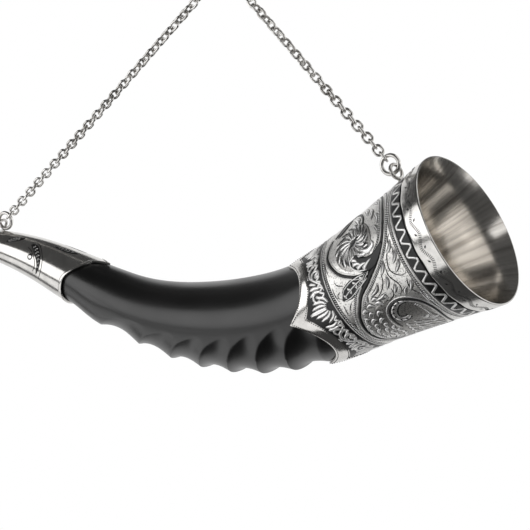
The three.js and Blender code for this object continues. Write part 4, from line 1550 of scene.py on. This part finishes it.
class DRINKINGHORN_OT_tail(bpy.types.Operator):
    """Build the tail cap, the staple on it and the ball on its end"""

    bl_idname = "drinking_horn.tail"
    bl_label = "Tail cap, staple and ball"

    def execute(self, context):
        scene = context.scene
        form, shape, mounts = HornForm(scene), scene.horn_shape, scene.mount_shape
        cap = rolled(form, cap_rows(form, shape, mounts), CAP_SIDES)
        put_piece(cap, "silver_tail_cap", finish("polished"), nodes=["tail_cap"])
        tip = shape.horn_length + mounts.sheet_gap + mounts.cap_thickness
        place, ahead, _ = form.at(tip + mounts.knob_seat)
        profile = ball_profile(mounts, cap_skin(form, mounts)(shape.horn_length))
        ball = turned(profile, place, -ahead, BALL_SIDES)
        put_piece(ball, "tail_ball", finish("polished"), nodes=["tail_knob"])
        bow = bent_staple(form, mounts)
        put_piece(bow, "tail_staple", finish("chain"), nodes=["tail_eye"])
        return {"FINISHED"}


class ChainArm:
    """One arm of the chain, from the hanging link to a ring in an eye."""

    def __init__(self, chain, eye, side, links):
        self.half_width = (chain.link_width - chain.link_wire) / 2
        self.half_link = (chain.link_inside + chain.link_wire) / 2
        self.stretch = self.half_link - self.half_width
        self.start = Vector((side * self.stretch, 0, 0))
        self.down = (eye - self.start).normalized()
        self.sideways = (-self.down).cross(ACROSS)
        self.run_ends = [math.floor(links * i / chain.runs + 0.5) for i in range(chain.runs + 1)]
        place = self.half_width - chain.link_wire - chain.clearance + self.half_link
        self.stations = [place]
        for i in range(1, links):
            pitch = -chain.clearance if i in self.run_ends else chain.bearing
            self.stations.append(self.stations[-1] + chain.link_inside + pitch)
        wires = (chain.link_wire + chain.ring_wire) / 2
        self.ring = self.stations[-1] + self.half_link + chain.ring_radius - wires - chain.clearance

    def point(self, station):
        """A place on the arm's line."""
        return self.start + self.down * station

    def side(self, turn):
        """A direction across the arm."""
        return ACROSS * math.cos(turn) + self.sideways * math.sin(turn)


class DRINKINGHORN_OT_chain(bpy.types.Operator):
    """Build the chain's links, the hanging link and the two jump rings"""

    bl_idname = "drinking_horn.chain"
    bl_label = "Chain and rings"

    def execute(self, context):
        scene = context.scene
        form, mounts, chain = HornForm(scene), scene.mount_shape, scene.chain_shape
        mouth = ChainArm(chain, eye_centre(form, mounts), 1, chain.mouth_links)
        tail = ChainArm(chain, staple_centre(form, mounts), -1, chain.tail_links)

        def link(matrix):
            return wire_loop(matrix, mouth.half_width, chain.link_wire, mouth.stretch)

        top = link(basis(Vector((1, 0, 0)), Vector((0, 0, 1)), Vector()))
        put_piece(top, "hanging_link", finish("chain"), "chain_top", ["hang_link"])
        bodies = ["chain_top"] + [f"chain_{i}" for i in range(2, chain.runs + 1)]
        for name, arm in (("mouth", mouth), ("tail", tail)):
            last = len(arm.stations) - 1
            for run, body in enumerate(bodies):
                links = []
                for i in range(arm.run_ends[run], arm.run_ends[run + 1]):
                    turn = i * math.pi / 2 + chain.twist * i / last
                    links.append(link(basis(arm.down, arm.side(turn), arm.point(arm.stations[i]))))
                put_piece(
                    joined(links),
                    f"{name}_links_{run + 1}",
                    finish("chain"),
                    body,
                    [f"{name}_chain_{run + 1}"],
                )
            across = arm.side(chain.ring_turn)
            ring = wire_loop(
                basis(-arm.down, across, arm.point(arm.ring)),
                chain.ring_radius,
                chain.ring_wire,
                steps=40,
                sides=16,
            )
            put_piece(
                ring, f"{name}_jump_ring", finish("chain"), bodies[-1], [f"{name}_ring"]
            )
        return {"FINISHED"}


def soft_light(name, place, target, width, height, radiance):
    """A soft box aimed at a target. Its face shines with a radiance, where 1 is white."""
    lamp = bpy.data.lights.new(name, "AREA")
    lamp.shape = "RECTANGLE"
    lamp.size = width
    lamp.size_y = height
    lamp.energy = radiance * math.pi * width * height
    light = bpy.data.objects.new(name, lamp)
    light.location = place
    light.rotation_euler = (place - target).to_track_quat("Z", "Y").to_euler()
    light.visible_camera = False
    bpy.context.scene.collection.objects.link(light)


def only_mirrored(mesh, name, material):
    """Set up a piece of the stage that only mirrors in the silver and the horn."""
    mesh.materials.append(material)
    shown = bpy.data.objects.new(name, mesh)
    bpy.context.scene.collection.objects.link(shown)
    shown.visible_camera = False
    shown.visible_diffuse = False
    shown.visible_shadow = False


def glowing_card(name, place, target, width, height, radiance):
    """A pale card turned to a target, that glows evenly with its own radiance."""
    bm = bmesh.new()
    bmesh.ops.create_grid(bm, x_segments=1, y_segments=1, size=0.5)
    turn = (target - place).to_track_quat("Z", "Y").to_matrix().to_4x4()
    size = Matrix.Diagonal((width, height, 1, 1))
    bmesh.ops.transform(bm, matrix=Matrix.Translation(place) @ turn @ size, verts=bm.verts)
    # Painted light: the card glows evenly with its own radiance instead of being lit.
    material, tree, output = new_material(f"{name} glowing_face")
    glow = add_node(tree, "ShaderNodeEmission", {"Color": linear("#ffffff"), "Strength": radiance})
    tree.links.new(glow.outputs["Emission"], output.inputs["Surface"])
    only_mirrored(mesh_of(bm, name), name.replace(" ", "_"), material)


def grey_tent(target, front, radius, opening, low, high):
    """A grey tent that glows with its own light, open to the white background, that only mirrors in the
    silver and the horn.
    """
    bm = bmesh.new()
    bmesh.ops.create_uvsphere(bm, u_segments=64, v_segments=32, radius=radius)
    edge = math.cos(opening)
    behind = [face for face in bm.faces if face.calc_center_median().normalized().dot(-front) > edge]
    bmesh.ops.delete(bm, geom=behind, context="FACES")
    bmesh.ops.translate(bm, vec=target, verts=bm.verts)
    # Painted light and shade: a grey glow in place of a lit cloth, painted paler toward the top.
    material, tree, output = new_material("glowing grey studio tent")
    split = add_node(tree, "ShaderNodeSeparateXYZ", {"Vector": object_place(tree)})
    height = add_node(
        tree,
        "ShaderNodeMapRange",
        {"Value": split.outputs["Z"], "From Min": target.z - radius, "From Max": target.z + radius},
    )
    colour = ramp(tree, height.outputs["Result"], [(0.1, linear(low)), (0.9, linear(high))])
    glow = add_node(tree, "ShaderNodeEmission", {"Color": colour, "Strength": 1.0})
    tree.links.new(glow.outputs["Emission"], output.inputs["Surface"])
    only_mirrored(mesh_of(bm, "grey tent"), "grey_tent", material)


def aim_camera(scene, target, toward):
    """A camera that looks at the target as the photograph does."""
    stage = scene.stage_settings
    lens = bpy.data.cameras.new("camera")
    lens.sensor_width = 36
    lens.lens = stage.focal_pixels / stage.picture_pixels * lens.sensor_width
    lens.clip_start = 0.01
    camera = bpy.data.objects.new("camera", lens)
    camera.location = target + toward * stage.distance
    camera.rotation_euler = toward.to_track_quat("Z", "Y").to_euler()
    scene.collection.objects.link(camera)
    scene.camera = camera
    scene.view_settings.view_transform = "Standard"


def set_lights(stage, target, front):
    """Three soft boxes, and glowing pale cards and a glowing grey tent that the silver mirrors."""
    right = Vector((math.cos(stage.azimuth), math.sin(stage.azimuth), 0))
    left = Vector((-math.sin(stage.key_turn), -math.cos(stage.key_turn), 0))
    lift = Vector((0, 0, 1))
    # Name, place from the target, width, height and radiance.
    boxes = (
        ("key softbox", left * 1.3 + lift * 0.18, 1.2, 0.75, 1.8),
        ("front softbox", front * 1.3 + lift * 0.6, 0.8, 0.4, 1.0),
        ("mouth softbox", right * 1.2 + front * 0.35 + lift * 0.5, 1.0, 0.6, 1.1),
    )
    for name, place, width, height, radiance in boxes:
        soft_light(name, target + place, target, width, height, radiance)
    # Cards that glow with their own radiance and are seen only in reflections.
    cards = (
        ("low card", left * 1.0 - lift * 0.62, 1.6, 0.75, 1.2),
        ("mouth card", right * 1.2 + front * 0.7 - lift * 0.1, 1.7, 1.5, 1.3),
        ("floor card", -front * 0.5 - lift * 0.5, 1.4, 0.7, 0.85),
        ("top card", right * 0.8 + lift * 1.1, 1.3, 1.1, 1.4),
        ("side card", right * 1.3 - front * 0.3, 1.0, 1.4, 1.0),
        ("back left card", -right * 0.8 - front * 0.95, 0.9, 1.2, 0.9),
        ("back right card", right * 0.8 - front * 0.95, 0.9, 1.2, 0.9),
    )
    for name, place, width, height, radiance in cards:
        glowing_card(name, target + place, target, width, height, radiance)
    # The tent glows grey with painted shading, a little paler toward the top.
    grey_tent(target, front, stage.tent_radius, stage.tent_opening, "#484848", "#505050")


def white_surround(scene):
    """A white world, seen at full strength, that lights matt surfaces at half strength."""
    world = bpy.data.worlds.new("white studio")
    scene.world = world
    world.use_nodes = True
    tree = world.node_tree
    tree.nodes.clear()
    rays = add_node(tree, "ShaderNodeLightPath")
    seen = add_node(
        tree,
        "ShaderNodeMath",
        {0: rays.outputs["Is Camera Ray"], 1: rays.outputs["Is Glossy Ray"]},
        operation="ADD",
    )
    seen = add_node(
        tree,
        "ShaderNodeMath",
        {0: seen.outputs[0], 1: rays.outputs["Is Transmission Ray"]},
        operation="ADD",
        use_clamp=True,
    )
    shares = {"Value": seen.outputs[0], "To Min": 0.5, "To Max": 1.0}
    strength = add_node(tree, "ShaderNodeMapRange", shares).outputs["Result"]
    sky = add_node(tree, "ShaderNodeBackground", {"Color": linear("#ffffff"), "Strength": strength})
    output = add_node(tree, "ShaderNodeOutputWorld")
    tree.links.new(sky.outputs["Background"], output.inputs["Surface"])


def pale_floor(scene, target):
    """A round floor, painted pale, that the camera sees nearly white."""
    stage = scene.stage_settings
    bm = bmesh.new()
    place = Matrix.Translation((target.x, target.y, -stage.floor_drop))
    bmesh.ops.create_circle(bm, cap_ends=True, segments=96, radius=stage.floor_radius, matrix=place)
    mesh = mesh_of(bm, "floor")
    material, tree, output = new_material("white studio floor")
    rays = add_node(tree, "ShaderNodeLightPath")
    paint = add_node(tree, "ShaderNodeBsdfDiffuse", {"Color": linear("#e8e8e8")})
    glow = add_node(tree, "ShaderNodeEmission", {"Color": linear("#ffffff"), "Strength": 1.0})
    inputs = {0: rays.outputs["Is Camera Ray"], 1: 0.8}
    share = add_node(tree, "ShaderNodeMath", inputs, operation="MULTIPLY")
    inputs = {0: share.outputs[0], 1: paint.outputs["BSDF"], 2: glow.outputs["Emission"]}
    mixed = add_node(tree, "ShaderNodeMixShader", inputs)
    tree.links.new(mixed.outputs["Shader"], output.inputs["Surface"])
    mesh.materials.append(material)
    floor = bpy.data.objects.new("floor", mesh)
    scene.collection.objects.link(floor)
    floor.visible_glossy = False


class DRINKINGHORN_OT_stage(bpy.types.Operator):
    """Set up the camera, the pale floor and the soft light"""

    bl_idname = "drinking_horn.stage"
    bl_label = "Camera, floor and light"

    def execute(self, context):
        scene = context.scene
        stage = scene.stage_settings
        target = HornForm(scene).mouth - Vector((stage.target_back, 0, stage.target_down))
        front = Vector((math.sin(stage.azimuth), -math.cos(stage.azimuth), 0))
        toward = front * math.cos(stage.elevation) + Vector((0, 0, math.sin(stage.elevation)))
        aim_camera(scene, target, toward)
        set_lights(stage, target, front)
        white_surround(scene)
        pale_floor(scene, target)
        return {"FINISHED"}


class DRINKINGHORN_PT_panel(bpy.types.Panel):
    """Sizes of the drinking horn and the steps that build it"""

    bl_idname = "DRINKINGHORN_PT_panel"
    bl_label = "Drinking horn"
    bl_space_type = "VIEW_3D"
    bl_region_type = "UI"
    bl_category = "Drinking horn"

    def draw(self, context):
        for step in STEPS:
            self.layout.operator(step.bl_idname)
        for name in GROUPS:
            box = self.layout.box()
            group = getattr(context.scene, name)
            for key in group.__annotations__:
                box.prop(group, key)


GROUPS = {
    "horn_shape": HornShape,
    "mount_shape": MountShape,
    "chain_shape": ChainShape,
    "stage_settings": StageSettings,
}
STEPS = (
    DRINKINGHORN_OT_horn,
    DRINKINGHORN_OT_mouth,
    DRINKINGHORN_OT_collar,
    DRINKINGHORN_OT_scrolls,
    DRINKINGHORN_OT_bands,
    DRINKINGHORN_OT_rim_vine,
    DRINKINGHORN_OT_mouth_eye,
    DRINKINGHORN_OT_tail,
    DRINKINGHORN_OT_tail_leaves,
    DRINKINGHORN_OT_chain,
    DRINKINGHORN_OT_stage,
)


def register():
    for group in GROUPS.values():
        bpy.utils.register_class(group)
    for name, group in GROUPS.items():
        setattr(bpy.types.Scene, name, bpy.props.PointerProperty(type=group))
    for item in (*STEPS, DRINKINGHORN_PT_panel):
        bpy.utils.register_class(item)


def unregister():
    for item in (*STEPS, DRINKINGHORN_PT_panel):
        bpy.utils.unregister_class(item)
    for name, group in GROUPS.items():
        delattr(bpy.types.Scene, name)
        bpy.utils.unregister_class(group)


def main():
    register()
    bpy.ops.drinking_horn.horn()
    bpy.ops.drinking_horn.mouth()
    bpy.ops.drinking_horn.collar()
    bpy.ops.drinking_horn.scrolls()
    bpy.ops.drinking_horn.bands()
    bpy.ops.drinking_horn.rim_vine()
    bpy.ops.drinking_horn.mouth_eye()
    bpy.ops.drinking_horn.tail()
    bpy.ops.drinking_horn.tail_leaves()
    bpy.ops.drinking_horn.chain()
    bpy.ops.drinking_horn.stage()
    bpy.context.view_layer.update()


if __name__ == "__main__":
    main()
